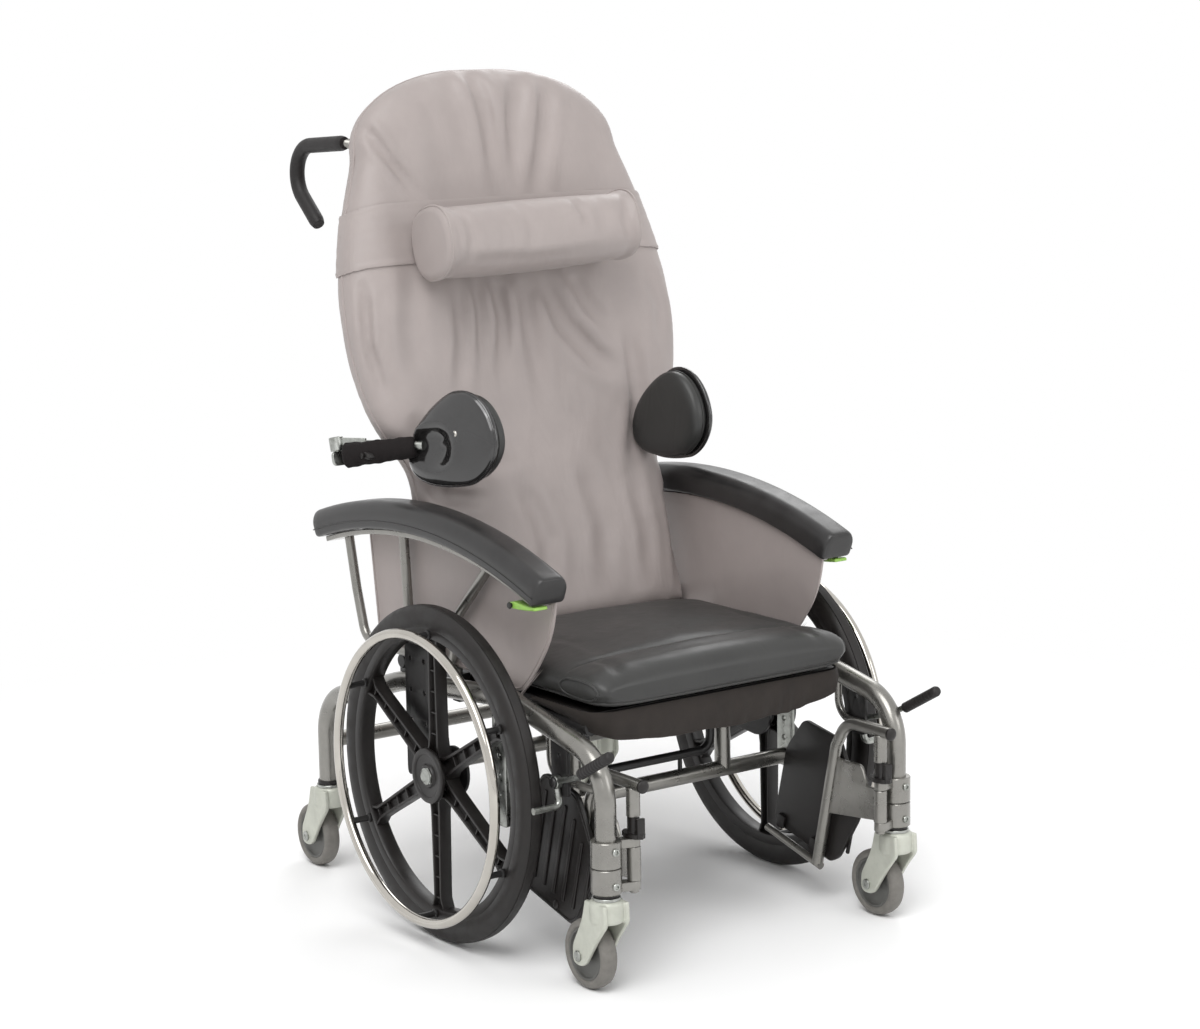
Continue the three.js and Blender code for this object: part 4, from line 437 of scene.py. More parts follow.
def sleeve(inner, outer, low, high, ease):
    """The closed profile of a turned tube whose outer edges are eased by (radius, along)."""
    rim, step = outer - ease[0], ease[1]
    return [(inner, low), (rim, low), (outer, low + step), (outer, high - step), (rim, high), (inner, high),
            (inner, low)]


def mirrored(half):
    """The closed profile of a wheel part from its outer half, (radius, along) pairs."""
    whole = half + [(r, -a) for r, a in reversed(half) if a]
    return whole + [whole[0]]


def dense(path, pitch):
    """A path with points no more than about a pitch in mm apart."""
    points = []
    for a, b in zip(path, path[1:]):
        pieces = max(1, round((b - a).length / (pitch * MM)))
        points += [a.lerp(b, i / pieces) for i in range(pieces)]
    return points + [path[-1]]


def surface_of(mesh):
    """A mesh's surface, for laying seams and straps on it."""
    return BVHTree.FromPolygons([v.co.copy() for v in mesh.vertices], [tuple(p.vertices) for p in mesh.polygons])


def laid(surface, points):
    """The points on a surface that are nearest to some points."""
    return [surface.find_nearest(p)[0] for p in points]


def plate(outlines, origin, right, up, thickness, bevel=0.8):
    """A flat plate with softened edges. Its outlines, the outer one and any holes, are in millimetres from origin
    along right and up, and it grows from origin along right x up."""
    curve = bpy.data.curves.new("plate", "CURVE")
    curve.dimensions = "2D"
    curve.fill_mode = "BOTH"
    curve.extrude = thickness / 2 - bevel
    curve.bevel_depth = bevel
    curve.bevel_resolution = 2
    curve.offset = -bevel
    for outline in outlines:
        spline = curve.splines.new("POLY")
        spline.points.add(len(outline) - 1)
        for target, point in zip(spline.points, outline):
            target.co = (point[0], point[1], 0, 1)
        spline.use_cyclic_u = True
    holder = in_scene("plate", curve)
    mesh = evaluated_mesh(holder)
    bpy.data.objects.remove(holder)
    right, up = Vector(right).normalized(), Vector(up).normalized()
    out = right.cross(up)
    basis = Matrix((right, up, out)).transposed().to_4x4()
    lift = Matrix.Translation((0, 0, thickness / 2))
    mesh.transform(Matrix.Translation(origin) @ basis @ Matrix.Scale(MM, 4) @ lift)
    return seal(mesh, 30)


def side_plate(outlines, k, inner, outer, bevel=0.8):
    """A plate that stands along the chair on side k, with its outlines in (y, z) and its faces at inner and outer."""
    return plate(outlines, at(min(k * inner, k * outer), 0, 0), Y, Z, outer - inner, bevel)


def refined(name, node, finish_key, body, bevel=0.6, angle=50.0):
    """A cleaned and softened copy of a CAD node's mesh, which it replaces."""
    mesh = frame["nodes"][node].data.copy()
    bm = bmesh.new()
    bm.from_mesh(mesh)
    bmesh.ops.remove_doubles(bm, verts=bm.verts, dist=2e-5)
    bmesh.ops.dissolve_limit(bm, angle_limit=math.radians(1), verts=bm.verts, edges=bm.edges)
    bm.to_mesh(mesh)
    bm.free()
    mesh.shade_smooth()
    mesh.set_sharp_from_angle(angle=math.radians(angle))
    obj = piece(name, mesh, finish_key, body, [node])
    soft = obj.modifiers.new("Soft edges", "BEVEL")
    soft.width = bevel * MM
    soft.segments = 2
    soft.limit_method = "ANGLE"
    soft.angle_limit = math.radians(angle)
    soft.harden_normals = True
    return obj


# Geometry Nodes


def new_tree(name, sockets):
    """A Geometry Nodes tree with named inputs, and its input sockets."""
    tree = bpy.data.node_groups.new(name, "GeometryNodeTree")
    for label, kind in sockets:
        tree.interface.new_socket(label, in_out="INPUT", socket_type=kind)
    tree.interface.new_socket("Geometry", in_out="OUTPUT", socket_type="NodeSocketGeometry")
    return tree, tree.nodes.new("NodeGroupInput").outputs


def close_tree(tree, geometry, material):
    """Ends a tree in real geometry with its material."""
    real = add_node(tree, "GeometryNodeRealizeInstances", links={"Geometry": geometry})
    coat = add_node(tree, "GeometryNodeSetMaterial", links={"Geometry": real.outputs[0], "Material": material})
    out = tree.nodes.new("NodeGroupOutput")
    tree.links.new(coat.outputs[0], out.inputs[0])


def ring_tree():
    """Sets copies of a part evenly round a crosswise axle."""
    tree, given = new_tree("Set Round Axle", [
        ("Geometry", "NodeSocketGeometry"), ("Count", "NodeSocketInt"), ("Centre", "NodeSocketVector"),
        ("Material", "NodeSocketMaterial")])
    points = add_node(tree, "GeometryNodePoints", links={"Count": given["Count"]})
    index = add_node(tree, "GeometryNodeInputIndex")
    share = add_node(tree, "ShaderNodeMath", {"operation": "DIVIDE"}, {0: index.outputs[0], 1: given["Count"]})
    angle = add_node(tree, "ShaderNodeMath", {"operation": "MULTIPLY", 1: 2 * math.pi}, {0: share.outputs[0]})
    turn = add_node(tree, "ShaderNodeCombineXYZ", links={"X": angle.outputs[0]})
    spin = add_node(tree, "FunctionNodeEulerToRotation", links={"Euler": turn.outputs[0]})
    back = add_node(tree, "ShaderNodeVectorMath", {"operation": "SCALE", "Scale": -1.0}, {0: given["Centre"]})
    centred = add_node(tree, "GeometryNodeTransform",
                       links={"Geometry": given["Geometry"], "Translation": back.outputs[0]})
    copies = add_node(tree, "GeometryNodeInstanceOnPoints",
                      links={"Points": points.outputs[0], "Instance": centred.outputs[0],
                             "Rotation": spin.outputs[0]})
    placed = add_node(tree, "GeometryNodeTransform",
                      links={"Geometry": copies.outputs[0], "Translation": given["Centre"]})
    close_tree(tree, placed.outputs[0], given["Material"])
    return tree


def row_tree():
    """Sets copies of a part in a row, one step apart."""
    tree, given = new_tree("Set In Row", [
        ("Geometry", "NodeSocketGeometry"), ("Count", "NodeSocketInt"), ("Step", "NodeSocketVector"),
        ("Material", "NodeSocketMaterial")])
    points = add_node(tree, "GeometryNodePoints", links={"Count": given["Count"]})
    index = add_node(tree, "GeometryNodeInputIndex")
    offset = add_node(tree, "ShaderNodeVectorMath", {"operation": "SCALE"},
                      {0: given["Step"], "Scale": index.outputs[0]})
    spread = add_node(tree, "GeometryNodeSetPosition",
                      links={"Geometry": points.outputs[0], "Offset": offset.outputs[0]})
    copies = add_node(tree, "GeometryNodeInstanceOnPoints",
                      links={"Points": spread.outputs[0], "Instance": given["Geometry"]})
    close_tree(tree, copies.outputs[0], given["Material"])
    return tree


def repeated(mesh, tree_key, finish_key, angle=35.0, **inputs):
    """The mesh that a Geometry Nodes tree makes of a mesh."""
    tree = TREES[tree_key]
    holder = in_scene("holder", mesh)
    modifier = holder.modifiers.new("Repeat", "NODES")
    modifier.node_group = tree
    inputs["Material"] = FINISHES[finish_key]
    for socket in tree.interface.items_tree:
        if socket.in_out == "INPUT" and socket.name in inputs:
            modifier[socket.identifier] = inputs[socket.name]
    made = evaluated_mesh(holder)
    holder.modifiers.remove(modifier)
    bpy.data.objects.remove(holder)
    return seal(made, angle)


# The base


def build_base():
    """Builds the side tubes with their plates, posts and loops, and the crossbars"""
    for side, k in SIDES.items():
        node = "side_frame_" + side
        tube = swept(bent([(at(k * TUBE_X, FRONT_Y, 145.2), 0), (at(k * TUBE_X, FRONT_Y, 336), 75),
                           (at(k * TUBE_X, -120, 386), 150), (at(k * TUBE_X, 170, 358), 200),
                           (at(k * TUBE_X, REAR_Y, 284), 75), (at(k * TUBE_X, REAR_Y, 145.2), 0)], 16), 15.5, 40)
        piece("side_tube_" + side, tube, "pewter", "base", [node])
        collars = [turned([(15.4, 145.2), (17.6, 145.2), (18, 146), (18, 150), (17.4, 151.5), (15.4, 151.5)],
                          at(k * TUBE_X, y, 0), Z) for y in (FRONT_Y, REAR_Y)]
        piece("stem_bushes_" + side, collars, "nylon", "base", [node])
        holes = [circle(-98, z, 4) for z in (234.5, 264.5, 294.5, 324.5)]
        post = side_plate([rounded([(-115, 188, 6), (-81, 188, 6), (-81, 376), (-115, 374)]), *holes],
                          k, 265, 273, 1)
        piece("drop_post_" + side, post, "zinc", "base", [node])
        lug = side_plate([[(167, 348), (203, 344)] + circle(TILT_Y, TILT_Z, 18, 32)[0:17]], k, 245.8, 253.8)
        pin = turned([(0, 240), (8, 240), (9, 241), (9, 244), (7, 245.5), (7, 257), (11, 257), (11.5, 258),
                      (11.5, 261), (10, 262.5), (0, 262.5)], at(0, TILT_Y, TILT_Z), X * k, 32)
        weld = side_plate([rounded([(170, 346, 3), (200, 342, 3), (200, 358, 3), (170, 361, 3)])],
                          k, 246, 262, 1.5)
        piece("tilt_lug_" + side, [lug, pin, weld], "black_steel", "base", [node])
        loop = swept(bent([(at(k * TUBE_X, -226, 360), 0), (at(k * TUBE_X, -226, 292), 30),
                           (at(k * TUBE_X, -350, 292), 0)], 12), 6, 20)
        piece("lock_loop_" + side, loop, "pewter", "base", [node])
        carrier = side_plate([rounded([(-282, 272, 6), (-242, 272, 6), (-242, 352, 8), (-282, 346, 8)]),
                              circle(-262, 330, 3.2)], k, 273.5, 279.5)
        rivet = turned([(4, 270), (4, 290.2), (8, 290.2), (8, 291.5), (6.5, 293.5), (3, 294.4), (0, 294.5)],
                       at(0, LOCK_Y, LOCK_Z), X * k, 28)
        piece("lock_carrier_" + side, [carrier, rivet], "black_steel", "base", [node])
        lobe = [(38 * math.cos(math.radians(a)), WHEEL_Z + 38 * math.sin(math.radians(a))) for a in range(52, 272, 8)]
        outline = [(24, 285), *lobe, (2, 216), *rounded([(130, 216, 20), (130, 430, 8), (62, 430, 8), (62, 300, 20),
                                                        (24, 285)])[:-1]]
        bores = [circle(y, 262.5 + 48 * i, 4) for y in (77, 115) for i in range(4)]
        plated = side_plate([outline[::-1], *bores], k, 284.8, 289.8)
        piece("axle_plate_" + side + "_dressed", plated, "black_steel", "base", ["axle_plate_" + side])
        axle = turned([(0, 282), (13, 282), (13, 284.5), (7.7, 284.6), (7.7, 291.6), (15.4, 291.7), (15.4, 291.9),
                       (7.7, 291.9), (7.7, 338.3), (12, 338.4), (12.6, 339), (12.6, 340), (7, 343.6), (6, 344.3),
                       (0, 344.3)], at(0, 0, WHEEL_Z), X * k, 36)
        piece("drive_axle_" + side, axle, "zinc", "base", ["axle_plate_" + side])
    front = swept([at(-264.7, CROSSBAR_Y, 205), at(264.7, CROSSBAR_Y, 205)], 12.5, 32)
    rests, pads = [], []
    for k in SIDES.values():
        rests.append(swept([at(k * REST_X, CROSSBAR_Y, 205), at(k * REST_X, CROSSBAR_Y, 336)], 12.5, 28))
        pads.append(turned([(0, 332.7), (14.5, 332.7), (15.5, 333.7), (15.5, 345), (13.5, 348.2), (10, 348.7),
                            (0, 348.7)], at(k * REST_X, CROSSBAR_Y, 0), Z, 36))
    piece("front_crossbar_tube", [front, *rests], "pewter", "base", ["front_crossbar"])
    piece("seat_rest_pads", pads, "black_rubber", "base", ["front_crossbar"])
    stop = swept(bent([(at(-118, CROSSBAR_Y, 300), 0), (at(-118, CROSSBAR_Y, 240), 22),
                       (at(118, CROSSBAR_Y, 240), 22), (at(118, CROSSBAR_Y, 300), 0)], 10), 7, 24)
    stays = [swept([at(x, CROSSBAR_Y, 212), at(x, CROSSBAR_Y, 240)], 3.5, 16) for x in (-59, 59)]
    piece("stop_bar", [stop, *stays], "black_steel", "base", ["front_crossbar"])
    rear = swept([at(-258, REAR_Y, 215), at(258, REAR_Y, 215)], 12.5, 32)
    piece("rear_crossbar_tube", rear, "pewter", "base", ["rear_crossbar"])
    refined("axle_crossbar_tube", "axle_crossbar", "pewter", "base")


# The wheels


def build_drive_wheels(spoke_ribs, groove):
    """Builds the moulded six-spoke wheels, their grooved tyres and the chromed handrims on tabs"""
    for side, k in SIDES.items():
        body = "drive_wheel_" + side
        centre = at(k * WHEEL_X, 0, WHEEL_Z)
        crown = [(221, 12), (221, 13.6), (227, 15.2), (236, 16), (246, 14.6), (250.5, 11.6)]
        tread = [(252.7, 8.6), (252.9 - groove, 8.2), (253.0 - groove, 7.4), (253.4, 7), (254, 2)]
        piece("drive_tyre_" + side, turned(mirrored(crown + tread), centre, X * k, 128, 50), "tyre", body,
              ["tyre_" + side])
        rim = [(205.2, 9.1), (207, 12.6), (210, 13.6), (218.5, 14), (221.6, 13.4), (221.4, 11), (220.6, 10.6)]
        rim_mesh = turned(mirrored(rim), centre, X * k, 128, 40)
        hub = turned([(8, -22), (20, -22), (21.5, -21.4), (24, -12), (26, -10), (26, 10), (30, 13.5), (38, 15.6),
                      (41.2, 17), (42, 18.4), (42, 21), (41, 23.2), (39, 24), (34, 24), (32.6, 23.4),
                      (31.8, 22), (19, 20.6), (17.6, 21.6), (16.6, 23.6), (13, 23.6), (12.6, 22.8), (8, 22.8),
                      (8, -22)], centre, X * k, 96, 40)
        rings = []
        for i in range(12):
            r = 24 + (206.5 - 24) * i / 11
            flare = 7 * max(0, 1 - (r - 24) / 26) ** 2 + 8 * max(0, 1 - (206.5 - r) / 22) ** 2
            w = 13 - 3.5 * i / 11 + flare
            d = 10 + 2.5 * max(0, 1 - (r - 24) / 30)
            inside = w - 4.2
            outline = rounded([(w, d, 1), (inside, d, 0.8), (inside - 1, 2.6, 1), (1 - inside, 2.6, 1),
                               (-inside, d, 0.8), (-w, d, 1), (-w, -d, 1), (-inside, -d, 0.8), (1 - inside, -2.4, 1),
                               (inside - 1, -2.4, 1), (inside, -d, 0.8), (w, -d, 1)], 2)
            rings.append([centre + (Y * a + X * k * b + Z * r) * MM for a, b in outline])
        spoke = ringed(rings, False, 30)
        ribs = []
        for i in range(spoke_ribs):
            z = 62 + (190 - 62) * i / max(1, spoke_ribs - 1)
            w = 8.4 - 3.2 * i / max(1, spoke_ribs - 1)
            ribs.append(plate([oblong(-w, -1.1, w, 1.1)], centre + (X * k * 1.5 + Z * z) * MM,
                              Y * k, Z, 7.2, 0.4))
        spokes = repeated(joined([spoke, *ribs]), "ring", "nylon", Count=6, Centre=tuple(centre))
        piece("mag_wheel_" + side + "_moulding", [rim_mesh, hub, spokes], "nylon", body,
              ["mag_wheel_" + side])
        nut = turned([(8.2, 18), (14, 22.7), (14, 24), (12.4, 25.2), (8.2, 25.2), (8.2, 18)], centre, X * k, 6, 20)
        piece("hub_washer_" + side, nut, "zinc", body, ["mag_wheel_" + side])
        hoop = [centre + (X * k * 46 + Y * 216.5 * math.sin(a) + Z * 216.5 * math.cos(a)) * MM
                for a in angles(128)]
        rim_tube = swept(hoop, 7.5, 24, closed=True)
        tab = turned([(0, 14.3), (7, 14.3), (7, 16.5), (5, 18), (4.6, 30), (5, 40), (5, 43), (0, 43)],
                     centre + Z * 213 * MM, X * k, 20)
        tabs = repeated(tab, "ring", "chrome", Count=6, Centre=tuple(centre))
        piece("handrim_" + side + "_hoop", rim_tube, "chrome", body, ["handrim_" + side])
        piece("handrim_tabs_" + side, tabs, "black_steel", body, ["handrim_" + side])


def build_casters(voxel):
    """Builds four cast forks with grey wheels"""
    for side, k in SIDES.items():
        for end, y in (("front", FRONT_Y), ("rear", REAR_Y)):
            stem = at(k * TUBE_X, y, 0)
            hub = stem + (Y * CASTER_TRAIL + Z * CASTER_Z) * MM
            key = end + "_" + side
            outline = rounded([(23.5, 137.7), (31, 108, 14), (54.5, 65, 7), (54.5, 37, 12.5), (26.5, 37, 12.5),
                               (-5, 84, 20), (-25.5, 108, 7), (-23.5, 137.7)], 8)
            legs = [plate([outline], stem + X * x * MM, Y, Z, 7, 1.6) for x in (15.6, -22.6)]
            crown = turned([(0, 107), (20, 107), (23.5, 108.4), (25.3, 112), (25.5, 132), (24.6, 137),
                            (21.5, 140.2), (17, 141), (0, 141)], stem, Z, 48)
            cast = in_scene("cast", joined([crown, *legs]))
            fuse = cast.modifiers.new("Fuse", "REMESH")
            fuse.mode = "VOXEL"
            fuse.voxel_size = voxel * MM
            ease = cast.modifiers.new("Ease", "SMOOTH")
            ease.factor = 0.6
            ease.iterations = 5
            shape = evaluated_mesh(cast)
            bpy.data.objects.remove(cast)
            shape.shade_smooth()
            body = "caster_" + key
            piece("caster_fork_" + key + "_casting", shape, "cast", body, ["caster_fork_" + key])
            stem_bar = turned([(6, 130), (6, 183), (0, 183)], stem, Z, 24)
            ring = turned([(12, 141), (20, 141), (20, 144), (19.4, 144.7), (12, 144.7), (12, 141)], stem, Z, 40)
            bolts = [turned([(0, 22), (8, 22.2), (8, 24.4), (7, 25.4), (3, 25.6), (2.6, 24.4), (0, 24.4)],
                            hub, X * way, 24) for way in (1, -1)]
            piece("caster_bolts_" + key, [stem_bar, ring, *bolts], "zinc", body, ["caster_fork_" + key])
            rubber = [(37.5, 9.6), (38.2, 10.8), (39.6, 12.4), (42, 13.5), (46, 12.6), (49.4, 9.4), (50.8, 5),
                      (51, 0)]
            core = [(6, 14), (10.5, 14), (11.5, 13.4), (12.5, 8.4), (14, 7.4), (31, 7), (33.5, 8), (35, 11.2),
                    (37, 11.6), (38.4, 10.8)]
            roller, node = "caster_roller_" + key, "caster_wheel_" + key
            piece("caster_tread_" + key, turned(mirrored(rubber), hub, X, 72, 50), "grey_rubber", roller, [node])
            piece("caster_core_" + key, turned(mirrored(core), hub, X, 56), "grey_nylon", roller, [node])


def build_wheel_locks():
    """Builds the lock levers with their shoes, arms and grips"""
    for side, k in SIDES.items():
        body, node = "wheel_lock_" + side, "wheel_lock_lever_" + side
        boss = turned(sleeve(4.4, 10, 279.9, 289.7, (1, 0.9)), at(0, LOCK_Y, LOCK_Z), X * k, 32)
        shoe = swept(bent([(at(k * 284.8, -263, 286), 0), (at(k * 284.8, -269, 258), 9),
                           (at(k * 330, -269, 258), 0)], 8), 5, 20)
        arm = swept(bent([(at(k * 284.8, -268, 295), 0), (at(k * 292, -320, 311), 30),
                          (at(k * 300, -358, 331), 0)], 8), 4.5, 18)
        piece("lock_rods_" + side, [boss, shoe, arm], "zinc", body, [node])
        start, end = at(k * 300, -344, 323), at(k * 300, -417, 364)
        way = (end - start).normalized()
        length = (end - start).length / MM
        profile = [(4.4, 0), (7, 0), (8, 1.2)]
        for i in range(9):
            profile += [(8, 6 + 7 * i), (7.2, 7.4 + 7 * i), (7.2, 8.6 + 7 * i), (8, 10 + 7 * i)]
        profile += [(8, length - 5), (6.6, length - 1.6), (4, length - 0.2), (0, length)]
        profile = [p for i, p in enumerate(profile) if i < 3 or p[1] > profile[i - 1][1]]
        piece("lock_grip_" + side, turned(profile, start, way, 32, 50), "black_rubber", body, [node])


def build_footrests():
    """Builds the clamps, hangers, latches and ribbed footplates"""
    rake = math.radians(14.4)
    along, upward = Vector((0, math.cos(rake), math.sin(rake))), Vector((0, -math.sin(rake), math.cos(rake)))
    for side, k in SIDES.items():
        clamp_node, hanger_node = "footrest_clamp_" + side, "footrest_hanger_" + side
        stem, axis = at(k * TUBE_X, FRONT_Y, 0), at(k * HANGER_X, HANGER_Y, 0)
        shells = [turned(sleeve(15.6, 22.3, low, high, (1.1, 1.2)), stem, Z, 48)
                  for low, high in ((150, 186.6), (187.6, 226))]
        piece("clamp_shells_" + side, shells, "pewter", "base", [clamp_node])
        across = (axis - stem).normalized()
        length = (axis - stem).length / MM
        beside = Z.cross(across)
        arms = [plate([rounded([(8, -8, 2), (length, -10, 4), (length + 9, -6, 5),
                                (length + 9, 6, 5), (length, 10, 4), (8, 8, 2)], 6)],
                      stem + Z * z * MM, across, beside, 13, 1.2) for z in (150, 213)]
        pin = turned([(5, 150), (5, 284), (4, 285), (0, 285)], axis, Z, 24)
        cap = turned([(0, 149.4), (7, 149.4), (7, 146.4), (5.6, 145.2), (0, 145)], axis, Z, 24)
        piece("clamp_arms_" + side, [*arms, pin, cap], "pewter", "base", [clamp_node])
        bolt = turned([(0, 18), (5.6, 18), (5.6, 24.6), (5, 25.4), (3.1, 25.6), (2.7, 23.6), (0, 23.6)],
                      stem + Z * 163 * MM, -Y, 20)
        bolts = repeated(bolt, "row", "zinc", Count=2, Step=(0, 0, 50 * MM))
        piece("clamp_bolts_" + side, bolts, "zinc", "base", [clamp_node])
        body, foot = "footrest_" + side, at(k * HANGER_X, FOOT_Y, FOOT_Z)
        bar = swept(bent([(at(k * HANGER_X, -391, 303), 0), (at(k * HANGER_X, -293, 303), 41),
                          (at(k * HANGER_X, -268, 262), 27), (foot, 0)], 14), 9, 32)
        piece("hanger_tube_" + side, bar, "pewter", body, [hanger_node])
        plug = turned([(0, -2), (8, -2), (9.4, -0.6), (9.6, 1), (9.4, 3), (8, 4.4), (4, 5.6), (0, 5.8)],
                      at(k * HANGER_X, -391, 303), -Y, 32)
        barrels = [turned(sleeve(5.4, 10, low, high, (0.6, 0.8)), axis, Z, 36)
                   for low, high in ((163.3, 212.7), (256.3, 298))]
        end = swept([foot - along * 9 * MM, foot + along * 126 * MM], 6, 24)
        piece("hanger_plug_" + side, plug, "nylon", body, [hanger_node])
        gusset = side_plate([rounded([(-364, 163.3), (-353, 163.3), (-245.5, 151, 3), (-265, 243, 4), (-328, 243, 8),
                                      (-340, 213), (-364, 213)])], k, 226, 232, 1.4)
        piece("hanger_gusset_" + side, [*barrels, gusset, end], "pewter", body, [hanger_node])
        refined("latch_plate_" + side, "footrest_latch_" + side, "nylon", "footrest_latch_" + side, 0.8)
        origin = at(k * 241, FOOT_Y, FOOT_Z)
        outline = rounded([(-30, 22, 8), (-58, 104, 10), (-56, 128, 8), (14, 206, 12), (99, 200, 12), (128, 138, 14),
                           (128, 16, 8), (118, 8, 4), (-14, 8, 6)], 8)
        low = origin if k > 0 else origin + X * -7.5 * MM
        board = plate([outline], low, along, upward, 7.5, 1.8)
        lip = []
        for corner in outline:
            point = low + (along * corner[0] + upward * corner[1]) * MM
            inward = (Vector((40, 100)) - corner).normalized() * 5
            lip.append(point + (along * inward[0] + upward * inward[1] + X * (7.4 if k > 0 else 0.1)) * MM)
        edge = swept(lip, 1.5, 10, closed=True)
        ribs = []
        for i in range(7):
            p = -40 + 25 * i
            top = 118 + min(p + 40, 60)
            ribs.append(plate([oblong(p - 3.5, 34, p + 3.5, top, 3)],
                              low + X * (6.5 if k > 0 else -2.5) * MM, along, upward, 3.5, 1.2))
        bolt = turned([(0, 0), (6.5, 0.2), (6.5, 1.6), (5, 2.8), (0, 3.2)],
                      low + (along * 25 + upward * 20 + X * (7.3 if k > 0 else 0.2)) * MM, X * k, 20)
        dots = repeated(bolt, "row", "nylon", Count=2, Step=tuple(along * 74 * MM))
        clips = [plate([oblong(share * 126 - 8, 7, share * 126 + 8, 29, 3)],
                       low + X * (-5.7 if k > 0 else 7.5) * MM, along, upward, 5.7, 1) for share in (0.2, 0.85)]
        piece("footplate_" + side + "_moulding", [board, edge, *ribs, dots, *clips], "nylon",
              "footplate_" + side, ["footplate_" + side])


# Soft pieces

# Creases, each as its path in mm, its width in mm and its share of the crease depth. The cushion's paths are in
# (x, y) from the axle, the others' in (across, up) on the back.
CUSHION_FOLDS = [
    ([(-236, -206), (-120, -203), (0, -207), (110, -203), (236, -205)], 5, 0.6),
    ([(-150, -190), (-132, -120), (-150, -60)], 11, 0.7), ([(-62, -196), (-50, -150), (-66, -84)], 10, 0.6),
    ([(20, -194), (34, -140), (24, -70)], 11, 0.7), ([(118, -196), (126, -150), (112, -98)], 10, 0.6),
    ([(196, -186), (188, -120), (202, -40)], 12, 0.7), ([(-190, -286), (-178, -250), (-184, -216)], 9, 0.6),
    ([(-90, -290), (-84, -250), (-96, -214)], 9, 0.7), ([(12, -290), (4, -252), (16, -214)], 9, 0.6),
    ([(96, -288), (104, -250), (92, -216)], 9, 0.7), ([(176, -286), (170, -246), (182, -216)], 9, 0.6),
]
COVER_FOLDS = [
    ([(-232, 790), (-206, 735), (-160, 665)], 9, 1.6), ([(-25, 866), (-16, 784), (-12, 650)], 15, 2.2),
    ([(64, 858), (32, 783), (8, 650)], 16, 1.7), ([(112, 837), (84, 748), (46, 650)], 15, 1.5),
    ([(-78, 858), (-62, 790), (-60, 720)], 20, 0.9), ([(-120, 519), (-128, 441), (-150, 350)], 12, 1.5),
    ([(-48, 530), (-44, 468), (-66, 370)], 12, 2.0), ([(-84, 530), (-86, 470), (-100, 400)], 10, 1.2),
    ([(8, 530), (2, 450), (6, 330)], 15, 1.6), ([(36, 530), (68, 452), (112, 398), (154, 366)], 17, 2.2),
    ([(192, 430), (188, 321), (146, 190)], 15, 1.9), ([(96, 530), (118, 480), (150, 442)], 14, 1.3),
    ([(-278, 540), (-286, 450), (-270, 360)], 7, 1.6), ([(225, 169), (224, 104), (214, 7)], 9, 1.4),
    ([(216, 262), (222, 205)], 11, 1.0), ([(-230, 320), (-180, 268), (-70, 240)], 14, 1.5),
    ([(-226, 246), (-198, 206), (-120, 190)], 11, 1.4), ([(-228, 180), (-180, 130), (-150, 60)], 14, 1.2),
    ([(-60, 210), (-30, 120), (-44, 20)], 16, 1.0), ([(60, 230), (80, 130), (66, 24)], 17, 1.0),
    ([(150, 200), (160, 110), (150, 20)], 14, 1.0), ([(-190, 560), (-215, 470), (-225, 380)], 20, 1.0),
    ([(240, 540), (262, 470), (250, 400)], 14, 1.2),
]
PILLOW_FOLDS = [
    ([(-60, 640), (-40, 590), (-52, 545)], 8, 0.5), ([(46, 640), (60, 604), (56, 580)], 6, 1.1),
    ([(-165, 640), (-150, 590), (-160, 536)], 8, 0.7), ([(150, 636), (138, 592), (152, 540)], 9, 0.7),
    ([(100, 640), (92, 610), (98, 560)], 9, 0.4), ([(-170, 548), (-40, 543), (120, 551)], 9, 0.5),
]


def power(value, exponent):
    """A power that keeps the sign, for rounded squares and flattened circles."""
    return math.copysign(abs(value) ** exponent, value)


def pressed(mesh, folds, crease_depth, place, facing):
    """Presses soft creases into a mesh. Each fold is (points in two measures, width in mm, share of the crease
    depth), place maps a vertex to those measures, and facing tells how much it faces the pressed side, from 0
    to 1."""
    moves = []
    for vertex in mesh.vertices:
        share = facing(vertex)
        if share <= 0:
            continue
        spot = place(vertex.co)
        push = 0.0
        for points, width, depth_share in folds:
            best, where = math.inf, 0.0
            for i in range(len(points) - 1):
                a, b = Vector(points[i]), Vector(points[i + 1])
                t = min(1, max(0, (spot - a).dot(b - a) / (b - a).length_squared))
                gap = (a.lerp(b, t) - spot).length
                if gap < best:
                    best, where = gap, (i + t) / (len(points) - 1)
            if best < 3.2 * width:
                fade = min(1, where * 5 + 0.25, (1 - where) * 3 + 0.05)
                u = best / width
                depth = depth_share * crease_depth
                push += fade * depth * (-math.exp(-u * u) + 0.45 * math.exp(-((u - 1.7) ** 2) / 0.6))
        moves.append((vertex.index, push * share))
    for index, push in moves:
        mesh.vertices[index].co += mesh.vertices[index].normal * push * MM
    mesh.update()


